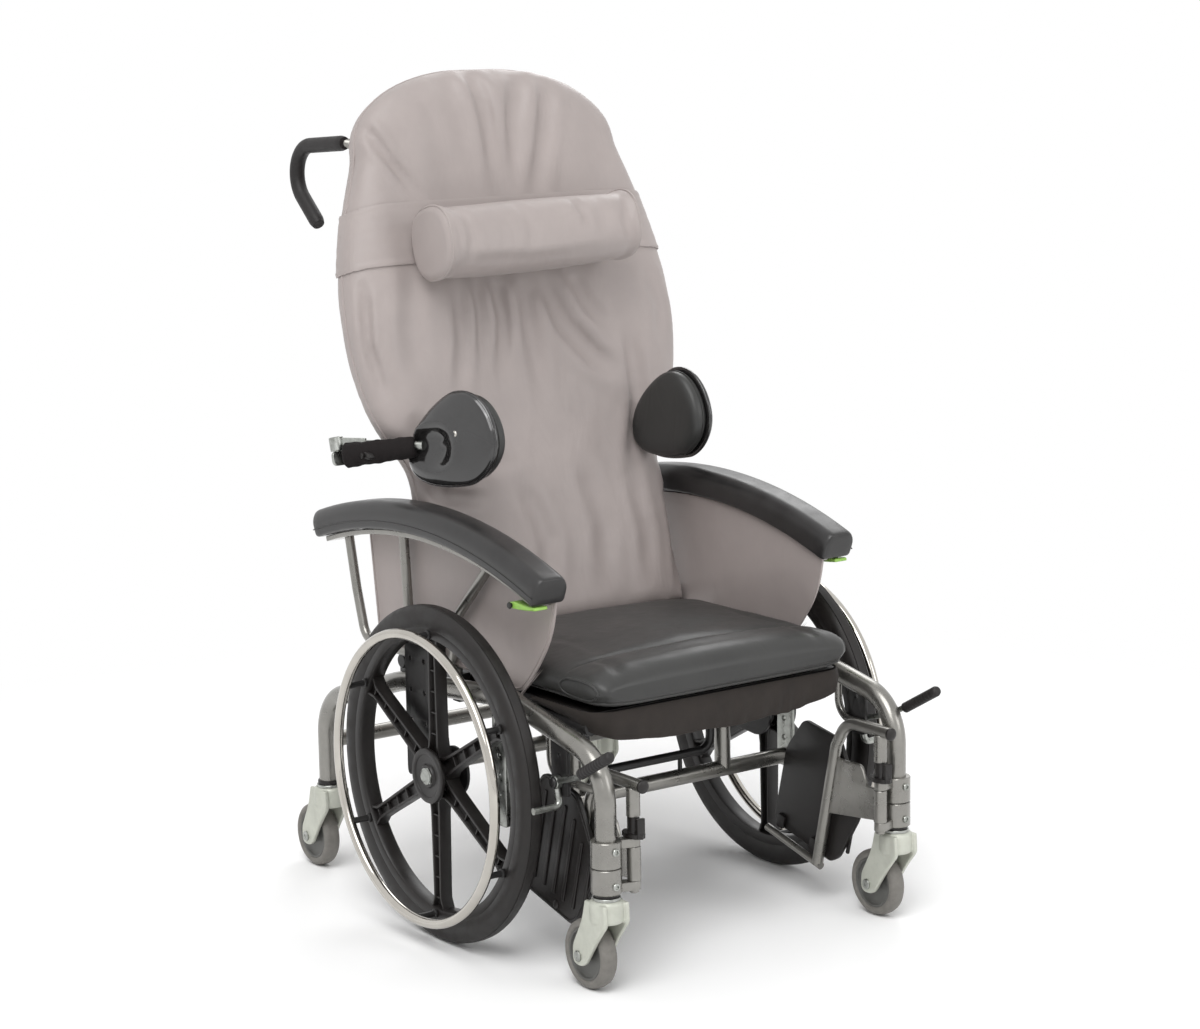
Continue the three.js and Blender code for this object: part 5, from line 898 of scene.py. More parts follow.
def swollen(mesh, voxel, pressure, cap, easing):
    """A mesh blown up a little as sewn cloth: remeshed, put under pressure, its movement capped, and smoothed."""
    obj = in_scene("cloth", mesh)
    remesh = obj.modifiers.new("Remesh", "REMESH")
    remesh.mode = "VOXEL"
    remesh.voxel_size = voxel * MM
    obj.data = evaluated_mesh(obj)
    obj.modifiers.clear()
    rest = np.empty(len(obj.data.vertices) * 3)
    obj.data.vertices.foreach_get("co", rest)
    cloth = obj.modifiers.new("Cloth", "CLOTH")
    cloth.settings.use_pressure = True
    cloth.settings.uniform_pressure_force = pressure
    cloth.settings.effector_weights.gravity = 0
    cloth.settings.tension_stiffness = 12
    cloth.settings.compression_stiffness = 12
    cloth.settings.bending_stiffness = 0.3
    cloth.settings.quality = 4
    cloth.point_cache.frame_start = 1
    cloth.point_cache.frame_end = 20
    for frame_number in range(1, 21):
        bpy.context.scene.frame_set(frame_number)
    moved = evaluated_mesh(obj)
    now = np.empty(len(rest))
    moved.vertices.foreach_get("co", now)
    shift = (now - rest).reshape(-1, 3)
    length = np.linalg.norm(shift, axis=1, keepdims=True)
    shift *= np.minimum(1, cap * MM / np.maximum(length, 1e-9))
    obj.modifiers.clear()
    obj.data.vertices.foreach_set("co", (rest.reshape(-1, 3) + shift).ravel())
    bpy.context.scene.frame_set(1)
    ease = obj.modifiers.new("Ease", "SMOOTH")
    ease.factor = 0.5
    ease.iterations = easing
    result = evaluated_mesh(obj)
    bpy.data.objects.remove(obj)
    return seal(result, 75, flip=False)


def cushion_shape(stations=72, count=112):
    """The seat cushion: a crowned block with a bolster before its crease and a rounded nose."""
    rows = []
    for i in range(stations + 1):
        share = (1 - math.cos(math.pi * i / stations)) / 2
        y = -299.6 + 381.2 * share
        front = y < -100
        end_share = (y + 300) / 44 if front else 0.8 * (82 - y) / 27.5
        nose = math.sqrt(max(0, 1 - (1 - min(1, end_share)) ** 2))
        swell = 0.22 + 0.78 * nose if front else 0.55 + 0.45 * nose
        crease = 7 * math.exp(-(((y + 205) / 12) ** 2))
        bolster = 6 * nose / (1 + math.exp((y + 209) / 4))
        half_width = 235.4 - (24 if front else 12) * (1 - nose)
        row = []
        for angle in angles(count):
            x = power(math.cos(angle), 0.25) * half_width
            up = power(math.sin(angle), 0.45)
            across = 1 - (x / half_width) ** 2
            draw = 14 * max(0, -up)
            dip = crease * (0.4 + 0.6 * across)
            if up < 0:
                z = CUSHION_Z + up * 27.5 * swell
            else:
                z = CUSHION_Z + up * (55 + bolster) * swell / 2 + up * (11 * nose * across - dip)
            row.append(at(x * (1 - draw / half_width), y, z))
        rows.append(row)
    return ringed(rows, False, 60)


def build_seat(crease_depth):
    """Builds the seat frame and board, the cushion with its piping, and the apron under its front edge"""
    refined("seat_frame_dressed", "seat_frame", "black_steel", "seat", 0.8)
    refined("seat_board", "seat_pan", "nylon", "seat", 1.0)
    mesh = cushion_shape()
    pressed(mesh, CUSHION_FOLDS, crease_depth, lambda co: Vector((co.x / MM, (co.y - AXLE_Y) / MM)),
            lambda v: max(0, v.normal.z) if v.co.z > 0.42 else 0)
    cushion = piece("seat_cushion_cover", mesh, "dark_vinyl", "seat", ["seat_cushion"])
    surface = surface_of(mesh)
    rough = bent([(at(-238, 60, 389), 0), (at(-238, -300, 389), 40), (at(238, -300, 389), 40),
                  (at(238, 60, 389), 0)], 20)
    piece("seat_cushion_piping", swept(laid(surface, dense(rough, 8)[:-1]), 2.3, 10), "dark_vinyl", "seat",
          ["seat_cushion"])
    ovals = []
    for k in SIDES.values():
        loop = [at(k * 244, -250 + 46 * power(math.cos(a), 0.8), 412 + 22 * power(math.sin(a), 0.8))
                for a in angles(64)]
        ovals.append(swept(laid(surface, loop), 2.0, 10, closed=True))
    piece("bolster_end_piping", ovals, "dark_vinyl", "seat", ["seat_cushion"])
    build_apron()


def build_apron():
    """The gathered apron under the front of the cushion, round its corners, with its hem."""
    rough = bent([(at(-235, -130, 385.4), 0), (at(-235, -287, 385.4), 40), (at(235, -287, 385.4), 40),
                  (at(235, -130, 385.4), 0)], 14)
    path = dense(rough, 3.4)
    reach = [0.0]
    for a, b in zip(path, path[1:]):
        reach.append(reach[-1] + (b - a).length / MM)
    levels, walls, area, low_edge = 12, [[], []], 0.0, []
    for i, point in enumerate(path):
        from_middle = reach[i] - reach[-1] / 2
        drop = float(np.interp(abs(from_middle), (0, 120, 190, 236, 290, 385), (54, 51, 41, 30, 15, 4)))
        drop += 0.02 * drop * math.sin(from_middle / 17)
        area += drop * (reach[i] - reach[i - 1] if i else 0) / 1e6
        way = (path[min(i + 1, len(path) - 1)] - path[max(i - 1, 0)]).normalized()
        out = way.cross(Z)
        gather = math.exp(-(((from_middle - 95) / 90) ** 2))
        for j in range(levels + 1):
            down = j / levels
            push = 3.4 * math.sin(math.pi * down) - 2.5 * down + 2.0 * down * math.sin(from_middle / 31 + 0.5)
            push += (0.4 + 1.3 * gather) * down * math.sin(from_middle / 4.6 + 1.5 * math.sin(from_middle / 19))
            for wall, inward in zip(walls, (0, 1.6)):
                wall.append(point + (out * (push - inward) - Z * down * drop) * MM)
        low_edge.append(walls[0][-1] - out * 0.8 * MM)
    points = walls[0] + walls[1]
    size, start, columns = levels + 1, len(walls[0]), len(path) - 1
    faces = []
    for i in range(columns):
        for j in range(levels):
            a, b, c, d = i * size + j, (i + 1) * size + j, (i + 1) * size + j + 1, i * size + j + 1
            faces += [(a, b, c, d), (start + d, start + c, start + b, start + a)]
        top, low = (i * size, (i + 1) * size), (i * size + levels, (i + 1) * size + levels)
        faces += [(top[1], top[0], start + top[0], start + top[1]), (low[0], low[1], start + low[1], start + low[0])]
    for i in (0, columns):
        for j in range(levels):
            a, b = i * size + j, i * size + j + 1
            faces.append((a, b, start + b, start + a))
    apron = piece("seat_apron", mesh_of(points, faces, 70), "cloth", "seat", ["seat_skirt"])
    hem = piece("apron_hem", swept(low_edge, 1.5, 8), "cloth", "seat", ["seat_skirt"])


def arc_z(y, radius):
    """The height at y of an arc of the bowed arms."""
    return ARC_Z + math.sqrt(radius ** 2 - (y - ARC_Y) ** 2)


def along_arc(section, y_from, y_to, k, steps=40, stations=None):
    """A bar of a section, (across, radius) pairs in mm, swept along the arm's curve. stations, pairs of a share of
    the way and a scale, may round its ends."""
    rings = []
    mid_a, mid_r = (sum(p[i] for p in section) / len(section) for i in (0, 1))
    stations = stations or [(i / steps, 1) for i in range(steps + 1)]
    for share, scale in stations:
        y = y_from + (y_to - y_from) * share
        angle = math.acos((y - ARC_Y) / mid_r)
        ring = []
        for a, r in section:
            a2, r2 = mid_a + (a - mid_a) * scale, mid_r + (r - mid_r) * scale
            ring.append(at(k * a2, ARC_Y + r2 * math.cos(angle), ARC_Z + r2 * math.sin(angle)))
        rings.append(ring)
    return ringed(rings, False, 50)


def build_arms():
    """Builds the tube arms with their curved bars, foam pads, side panels and lime levers"""
    for side, k in SIDES.items():
        body, node = "arm_" + side, "arm_frame_" + side
        top, x = ARM_BAR_LOW, k * ARM_X
        bow = swept(bent([(at(x, 330, arc_z(330, top)), 0), (at(x, 312, 480), 30),
                          (at(x, 288, 402), 30), (at(x, 38, 402), 30), (at(x, 24, 480), 30),
                          (at(x, -70, arc_z(-70, top)), 0)], 12), 7.5, 28)
        strut = swept([at(x, 154, 402), at(x, 168, arc_z(168, top))], 7.5, 28)
        piece("arm_tube_" + side, [bow, strut], "pewter", body, [node])
        bar = along_arc(oblong(249.5, ARM_BAR_LOW, 284, ARM_BAR_HIGH, 1.5, 3), -208, 364, k)
        parts = []
        for y in (50, 115):
            parts.append(swept([at(k * 243, y, 398), at(k * 243, y, 378)], 5, 20))
            parts.append(side_plate([oblong(y - 5, 394.5, y + 5, 402, 1.5)], k, 238, 262, 1))
        piece("arm_bar_" + side, [bar, *parts], "pewter", body, [node])
        lug = side_plate([rounded([(-173, 526, 4), (-157, 526, 4), (-157, 552), (-173, 550)])],
                         k, 257.5, 264.5, 1)
        pin = turned([(0, 262), (3.4, 262), (3.4, 292.4), (5, 292.6), (5, 294), (3.6, 295.4), (0, 295.6)],
                     at(0, -165, 533), X * k, 20)
        piece("lever_lug_" + side, [lug, pin], "black_steel", body, [node])
        pad_section = rounded([(237, 900.4, 7), (295.5, 900.4, 7), (297, 928, 9.5), (287, 943.6, 8.5),
                               (247, 943.6, 8.5), (236, 928, 9.5)], 7)
        ends = [(0, 0.03), (0, 0.5), (0, 0.84), (0.0008, 0.9), (0.0026, 0.945), (0.006, 0.98), (0.0115, 1)]
        middle = [(0.0115 + 0.977 * i / 60, 1) for i in range(1, 60)]
        pad = along_arc(pad_section, -231, 387, k,
                        stations=ends + middle + [(1 - share, scale) for share, scale in reversed(ends)])
        cover = piece("arm_pad_" + side + "_foam", pad, "skin_foam", body, ["arm_pad_" + side])
        seam = along_arc([(296.0, 912.2), (297.4, 912.8), (297.4, 913.8), (296.0, 914.4)], -226, 382, k, 60)
        piece("arm_pad_seam_" + side, seam, "skin_foam", body, ["arm_pad_" + side])
        outline = rounded([(-217, arc_z(-217, ARM_BAR_HIGH)), (-206, 486, 34), (-156, 418, 34), (-126, 391, 16),
                           (-60, 396, 12), (270, 404, 8), (292, arc_z(292, ARM_BAR_HIGH))], 8)
        outline += [Vector((y, arc_z(y, ARM_BAR_HIGH))) for y in range(265, -200, -35)]
        panel = side_plate([outline], k, 245, 249, 1.2)
        piece("side_panel_" + side + "_cover", panel, "vinyl", body, ["side_panel_" + side])
        inset = [p + (Vector((40, 500)) - p).normalized() * 6 for p in outline]
        edge = swept([at(k * 249.3, p.x, p.y) for p in inset], 1.1, 8, closed=True)
        piece("side_panel_hem_" + side, edge, "vinyl", body, ["side_panel_" + side])
        lever = side_plate([rounded([(-159, 529, 3), (-159, 537, 3), (-171, 539, 4), (-198, 537, 12),
                                     (-221, 538, 2), (-223, 533, 2), (-200, 530, 12), (-171, 528, 4)], 6)],
                           k, 266, 290, 2)
        piece("arm_lever_" + side + "_moulding", lever, "lime", "arm_lever_" + side, ["arm_lever_" + side])


# The cover's half width at heights up to its shoulders.
COVER_HEIGHTS = [0, 246, 272, 304, 350, 400, 450, 520, 580, 640, 700, SHOULDER_H]
COVER_HALF_WIDTHS = [233, 233, 245, 270, 291, 303, 309, 308, 299, 284, 262, 246]


def cover_half_width(h):
    """Half the width of the back cover at a height up the back: narrow between the arms, wide over them."""
    if h > SHOULDER_H:
        return COVER_HALF_WIDTHS[-1] * max(0, 1 - min(1, (h - SHOULDER_H) / CROWN_HEIGHT) ** 2.25) ** 0.47
    near = [float(np.interp(min(SHOULDER_H, max(0, h + d)), COVER_HEIGHTS, COVER_HALF_WIDTHS))
            for d in (-14, -7, 0, 7, 14)]
    return sum(near) / 5


def cover_section(h, margin, count):
    """The cover's outline across, seen from above, at a height: flat behind, six soft waves in front."""
    crest = max(0, (h - SHOULDER_H) / CROWN_HEIGHT)
    thin = math.sqrt(max(0.02, 1 - crest ** 4))
    half_depth = COVER_HALF_DEPTH * thin + margin
    half_width = cover_half_width(h) + margin
    row = []
    for k in range(count):
        angle = math.pi * (2 * k + 1) / count
        c, s = math.cos(angle), math.sin(angle)
        x = power(c, 0.3) * half_width
        wave = COVER_WAVE * math.cos(6 * math.pi * x / 288) * (1 - crest) if s < 0 else 0
        n = COVER_N + power(s, 0.34 if s > 0 else 0.56) * half_depth + wave
        row.append((x, n, h))
    return row


def cover_shape(margin, levels=120, count=180):
    """The cover from its foot to its top, with more rows near the top, where it curves."""
    rows = []
    for i in range(levels + 1):
        h = COVER_FOOT + (COVER_TOP - COVER_FOOT) * (1 - (1 - i / levels) ** 1.3)
        rows.append([on_back(*p) for p in cover_section(h, margin, count)])
    return ringed(rows, False, 60)


def back_measures(co):
    """(across, up) of a point on the back, in mm."""
    away = co - BACK_PIVOT
    return Vector((away.x / MM, away.dot(BACK_UPWARD) / MM))


def facing_forward(steepness):
    """A measure of how much a vertex of the back faces forward, from 0 to 1."""
    return lambda v: max(0, min(1, -steepness * v.normal.dot(BACK_REARWARD)))


def build_back(crease_depth, cover_cap):
    """Builds the back tube, the creased cover, the pillow on its strap and the push grips"""
    hoop = []
    for h in range(0, SHOULDER_H + 1, 20):
        hoop.append((min(258, cover_half_width(h) - 30), 0, h))
    for i in range(1, 16):
        turn = math.pi / 2 * i / 16
        hoop.append((202 * math.cos(turn), -12 * math.sin(turn), SHOULDER_H + 112 * math.sin(turn)))
    path = [on_back(*p) for p in hoop] + [on_back(0, -12, 852)] + [on_back(-x, n, h) for x, n, h in hoop[::-1]]
    tube = swept(path, 11, 24)
    foot = swept([on_back(-203, 0, 0), on_back(203, 0, 0)], 11, 24)
    handles = []
    for k in SIDES.values():
        bend, tip = on_back(k * GRIP_X, *GRIP_BEND), on_back(k * GRIP_X, *GRIP_TIP)
        line = bent([(on_back(k * 191, 0, 765), 0), (on_back(k * GRIP_X, *GRIP_FOOT), 16), (bend, 47), (tip, 0)], 12)
        handles.append(swept(line, 8, 24))
    piece("back_tube", [tube, foot, *handles], "pewter", "back", ["back_frame"])
    for side, k in SIDES.items():
        foot, bend, tip = (on_back(k * GRIP_X, *place) for place in (GRIP_FOOT, GRIP_BEND, GRIP_TIP))
        start = bend + (foot - bend) * (GRIP_BEND[0] - 20) / (GRIP_BEND[0] - GRIP_FOOT[0])
        line = dense(bent([(start, 0), (bend, 47), (tip + (tip - bend).normalized() * 3 * MM, 0)], 26), 5)
        radii = [12.0] * len(line)
        for i, r in enumerate((9.6, 11.2)):
            radii[i] = r
            radii[-1 - i] = r
        grip = swept(line, radii, 32)
        piece("push_grip_" + side + "_foam", grip, "black_rubber", "back", ["push_grip_" + side])
    bars = []
    for k in SIDES.values():
        low = on_back(k * 192, 16.9, 279)
        bars.append(plate([rounded([(0, 0, 2), (147, 0, 8), (147, 22, 8), (0, 22, 2)]),
                           circle(22, 11, 3.2), circle(64, 11, 3.2)], low, X * k, BACK_UPWARD, 6))
        pin = turned([(5, 300), (5, 322), (4, 323), (0, 323)], on_back(k * LATERAL_X, LATERAL_N, 0), BACK_UPWARD, 20)
        bars.append(pin)
        bars.append(swept([on_back(k * 203, 2, 290), on_back(k * 203, 20, 290)], 8, 20))
        bars.append(swept([on_back(k * 203, 0, 0), on_back(k * 238, 0, 0)], 8, 24))
    piece("lateral_bars", bars, "zinc", "back", ["back_frame"])
    lever = [plate([rounded([(-6, 0), (6, 0), (25, -68, 5), (1, -68, 5)])], on_back(x, 0, 0), BACK_REARWARD,
                   BACK_UPWARD, 3, 0.5) for x in (33, 44)]
    piece("recline_lever", lever, "black_steel", "back", ["back_frame"])
    mesh = swollen(cover_shape(-1.5), voxel=7, pressure=3.2, cap=cover_cap, easing=12)
    pressed(mesh, COVER_FOLDS, crease_depth, back_measures, facing_forward(1.5))
    surface = surface_of(mesh)
    cover = piece("back_cover_upholstery", mesh, "vinyl", "back", ["back_cover"])
    seam = [[on_back(k * (cover_half_width(h) - 0.6), -21, h) for h in range(6, SHOULDER_H + 1, 16)]
            for k in (-1, 1)]
    arch = [on_back(246 * math.cos(math.pi * i / 40), -22, SHOULDER_H + 138.6 * math.sin(math.pi * i / 40))
            for i in range(1, 40)]
    edge = laid(surface, seam[1] + arch + seam[0][::-1])
    piece("cover_seam_welt", swept(edge, 1.9, 8), "vinyl", "back", ["back_cover"])
    build_pillow(crease_depth, surface)


def build_pillow(crease_depth, surface):
    """The head pillow with its end caps, and the strap that lies on the cover's surface."""
    rows = []
    for i in range(61):
        share = i / 60
        x = PILLOW_RIGHT + (PILLOW_LEFT - PILLOW_RIGHT) * (1 - math.cos(math.pi * share)) / 2
        end = min(x - PILLOW_RIGHT, PILLOW_LEFT - x)
        rim = 4.5 * math.exp(-(((end - 10) / 9) ** 2)) + 4 * math.sin(math.pi * share) ** 2
        round_end = math.sqrt(max(0.0, 1 - (1 - min(1, end / 7)) ** 2))
        radius = (52.5 + rim - 3 * share) * (0.84 + 0.16 * round_end) if end > 0.01 else 44
        rise = 13 * max(0, share - 0.3)
        row = []
        for a in angles(72):
            n, h = radius * power(math.cos(a), 0.82), radius * 0.98 * power(math.sin(a), 0.82)
            if n > 40:
                n = 40 + (n - 40) * 0.9
            sag = 3 * math.sin(math.pi * share) if h < 0 else 0
            row.append(on_back(x, PILLOW_N + n, PILLOW_H + rise + h - sag))
        rows.append(row)
    mesh = ringed(rows, False, 70)
    pressed(mesh, PILLOW_FOLDS, crease_depth, back_measures, facing_forward(1.4))
    pillow = piece("head_pillow_upholstery", mesh, "vinyl", "back", ["head_pillow"])
    welts = []
    for x, r, rise in ((-190.5, 57, 0), (162.5, 54.4, 9)):
        loop = [on_back(x, PILLOW_N + (r if math.cos(a) < 0 else 0.93 * r) * power(math.cos(a), 0.82),
                        PILLOW_H + rise + 0.98 * r * power(math.sin(a), 0.82))
                for a in angles(72)]
        welts.append(swept(loop, 1.7, 8, closed=True))
    piece("pillow_end_piping", welts, "vinyl", "back", ["head_pillow"])
    outer, inner = [], []
    for i in range(25):
        h = 566 + 96 * i / 24
        ripple = 0.5 * math.sin(i * 1.3)
        bead = 0.9 if i in (1, 23) else 0
        row = [on_back(*p) for p in cover_section(h, 14, 180)]
        under = laid(surface, row)
        outer.append([a + (p - a).normalized() * (2.8 + bead + ripple * 0.3) * MM for a, p in zip(under, row)])
        inner.append([a + (p - a).normalized() * 0.8 * MM for a, p in zip(under, row)])
    rows = outer + inner[::-1]
    strap = piece("head_strap_band", ringed(rows, True, 60), "vinyl", "back", ["head_strap"])


# The shell of a chest support from its inner face outwards: how far each ring is drawn in from its outline, how
# far it stands from the chair's middle, and its share of the dome's height.
SHELL_RINGS = [
    (9, 198.0, 0), (3, 197, 0), (0.8, 197.4, 0), (0, 198.6, 0), (0, 202, 0), (1.2, 203.4, 0), (2.0, 203, 0),
    (2.6, 203.4, 0.02), (3.2, 205.6, 0.06), (5, 206.6, 0.18), (8, 207.4, 0.36), (12, 208, 0.54), (17, 208.5, 0.7),
    (23, 208.9, 0.83), (30, 209.2, 0.92), (37, 209.4, 0.97), (45, 209.5, 1), (54, 209.6, 1), (60, 209.6, 1),
    (66, 209.6, 1),
]
# Its pad likewise, from the shell to its face.
PAD_RINGS = [
    (34, 196.6), (12, 196.6), (8, 196.2), (6.4, 194.6), (6, 191.5), (6, 183.5), (7, 179.6), (9.6, 176.4),
    (14, 174.2), (21, 173.0), (30, 172.6), (42, 172.6), (56, 172.9), (66, 173),
]


def egg(inset, steps=14):
    """The egg-shaped outline of a lateral support in (n, h), drawn in by an inset."""
    shares = [(0, 0.5), (0.485, 1), (0.62, 1), (0.845, 1), (1, 0.5), (1, -0.1), (1, -0.7), (0.755, -1), (0.62, -1),
              (0.35, -0.98), (0, -0.8), (0, -0.28)]
    rear, length, half = -68 - inset, 160 - 2 * inset, 72 - inset
    spots = [Vector((rear - a * length, 284 + b * half)) for a, b in shares]
    outline = []
    start = spots[-1]
    for i in range(0, 12, 3):
        a, b, c = spots[i:i + 3]
        for j in range(steps):
            t = j / steps
            outline.append(start * (1 - t) ** 3 + a * 3 * t * (1 - t) ** 2 + b * 3 * t * t * (1 - t) + c * t ** 3)
        start = c
    return outline


def slant(n):
    """How far along a chest support a point lies, from 0 at its front edge to 1 at its rear edge."""
    return min(1, max(0, (n - SHELL_FRONT_N) / 160))


def build_laterals():
    """Builds the swing-away chest supports: arms with foam sleeves, shells with a recess, and pads"""
    for side, k in SIDES.items():
        body = "lateral_" + side
        arm_node, shell_node = "lateral_arm_" + side, "lateral_shell_" + side
        hinge = on_back(k * LATERAL_X, LATERAL_N, 0)
        flare = 46 if side == "right" else -12
        edge = 206 + flare * slant(-84)

        def turned_out(x, p):
            """A point of this side's support, which stands turned outwards towards its rear."""
            share = slant(p.x)
            return on_back(k * (x + flare * share), p.x + 16 * share, p.y)

        start, end = on_back(k * LATERAL_X, LATERAL_N, 312), on_back(k * (edge - 5), -88, LATERAL_H)
        barrel = turned(sleeve(5.4, 11, 301.4, 322.6, (0.8, 0.8)), hinge, BACK_UPWARD, 36)
        way = (end - start).normalized()
        length = (end - start).length / MM
        beside = way.cross(BACK_UPWARD).normalized()
        flat = plate([oblong(8, -10, 0.34 * length, 10, 2)], start - beside * 3 * MM, way, beside.cross(way), 6)
        bar = swept([start.lerp(end, 0.3), end], 7, 24)
        piece("lateral_arm_bar_" + side, [barrel, flat, bar], "zinc", body, [arm_node])
        stations, radii = [], []
        for i in range(41):
            share = i / 40
            stations.append(on_back(k * 324, 6, 292).lerp(on_back(k * (edge + 3), -80, LATERAL_H), share))
            wobble = 0.6 * math.sin(17 * share) + 0.4 * math.sin(41 * share + 1)
            radii.append((19 - 3 * share + wobble) * (0.86 if i in (0, 40) else 1))
        piece("lateral_sleeve_" + side, swept(stations, radii, 32), "foam", body, [arm_node])
        low = min(k * 298, k * 314)
        release = plate([rounded([(8.4, 291.3, 2), (-43.6, 277.3, 4), (-43.6, 287.3, 4), (-20, 297, 12),
                                  (8.4, 311.3, 3)], 6)], on_back(low, 0, 0), BACK_REARWARD, BACK_UPWARD, 16, 1.6)
        knob = turned([(0, 314), (4, 314), (4.4, 315), (4.4, 317.6), (3.4, 318.6), (0, 319)],
                      on_back(0, -30, LATERAL_H), X * k, 20)
        piece("lateral_release_" + side, [release, knob], "nylon", body, [arm_node])
        rings = []
        for inset, x, lift in SHELL_RINGS:
            rings.append([turned_out(x + lift * 9 * slant(p.x) ** 1.4, p) for p in egg(inset)])
        shell = ringed(rings, False, 50)
        centre = Vector((-100.0, 282.0))  # of the recess that the arm goes into
        for vertex in shell.vertices:
            away = vertex.co - BACK_PIVOT
            n = away.dot(BACK_REARWARD) / MM
            if k * away.x / MM < 204 + flare * min(1, max(0, (n - SHELL_FRONT_N) / 176)):
                continue
            spot = Vector((n, away.dot(BACK_UPWARD) / MM)) - centre
            tilted = Vector((spot.x * 0.98 + spot.y * 0.2, -spot.x * 0.2 + spot.y * 0.98))
            taper = 31 - 0.28 * tilted.x
            measure = math.hypot(tilted.x / 50, tilted.y / max(8, taper))
            dip = 9 * (1 / (1 + math.exp((measure - 0.84) * 14)))
            crest = 1.8 * math.exp(-(((measure - 1.14) / 0.15) ** 2))
            vertex.co.x += k * (crest - dip) * MM
        shell.update()
        piece("lateral_shell_" + side + "_moulding", shell, "abs", body, [shell_node])
        screw = turned([(0, -8), (5.4, -8), (5.4, 0.8), (4.6, 1.8), (2.4, 2), (2, 0.4), (0, 0.4)],
                       on_back(k * (211 + flare * slant(-166)), -160, 292), X * k, 24)
        piece("lateral_screw_" + side, screw, "chrome", body, [shell_node])
        rings = []
        for inset, x in PAD_RINGS:
            rings.append([turned_out(x, p) for p in egg(inset)])
        pad = piece("lateral_pad_" + side + "_cover", ringed(rings, False, 50), "dark_vinyl", body,
                    ["lateral_pad_" + side])
        line = [turned_out(190.4, p) for p in egg(5.6, 20)]
        piece("lateral_pad_piping_" + side, swept(line, 1.2, 8, closed=True), "dark_vinyl", body,
              ["lateral_pad_" + side])


def build_springs():
    """Builds the two gas springs under the seat"""
    for name, key in (("tilt_cylinder", "black_steel"), ("tilt_rod", "chrome"), ("recline_cylinder", "black_steel"),
                      ("recline_rod", "chrome")):
        refined(name + "_dressed", name, key, name, 0.4)


def aimed(lamp, place):
    """A lamp in the scene that looks at the middle of the chair."""
    holder = in_scene(lamp.name, lamp)
    holder.location = place
    holder.rotation_euler = (Vector((0, 0, 0.6)) - Vector(place)).to_track_quat("-Z", "Y").to_euler()
    return holder


def paper_floor():
    """Seamless white paper: matt and shadowed round the chair, running into the white background further out."""
    material = bpy.data.materials.new("Seamless Paper")
    material.use_nodes = True
    tree = material.node_tree
    tree.nodes.clear()
    place = add_node(tree, "ShaderNodeTexCoord").outputs["Object"]
    reach = add_node(tree, "ShaderNodeVectorMath", {"operation": "LENGTH"}, {0: place}).outputs["Value"]
    far = add_node(tree, "ShaderNodeMapRange", {"interpolation_type": "SMOOTHSTEP", "From Min": 0.75, "From Max": 1.9},
                   {"Value": reach}).outputs["Result"]
    seen = add_node(tree, "ShaderNodeLightPath").outputs["Is Camera Ray"]
    share = add_node(tree, "ShaderNodeMath", {"operation": "MULTIPLY"}, {0: far, 1: seen})
    matt = add_node(tree, "ShaderNodeBsdfDiffuse", {"Color": (*linear("#fcfcfc")[:3], 1)})
    white = add_node(tree, "ShaderNodeEmission", {"Color": (1, 1, 1, 1), "Strength": 1.0})
    mix = add_node(tree, "ShaderNodeMixShader", links={0: share.outputs[0], 1: matt.outputs[0], 2: white.outputs[0]})
    add_node(tree, "ShaderNodeOutputMaterial", links={"Surface": mix.outputs[0]})
    return material


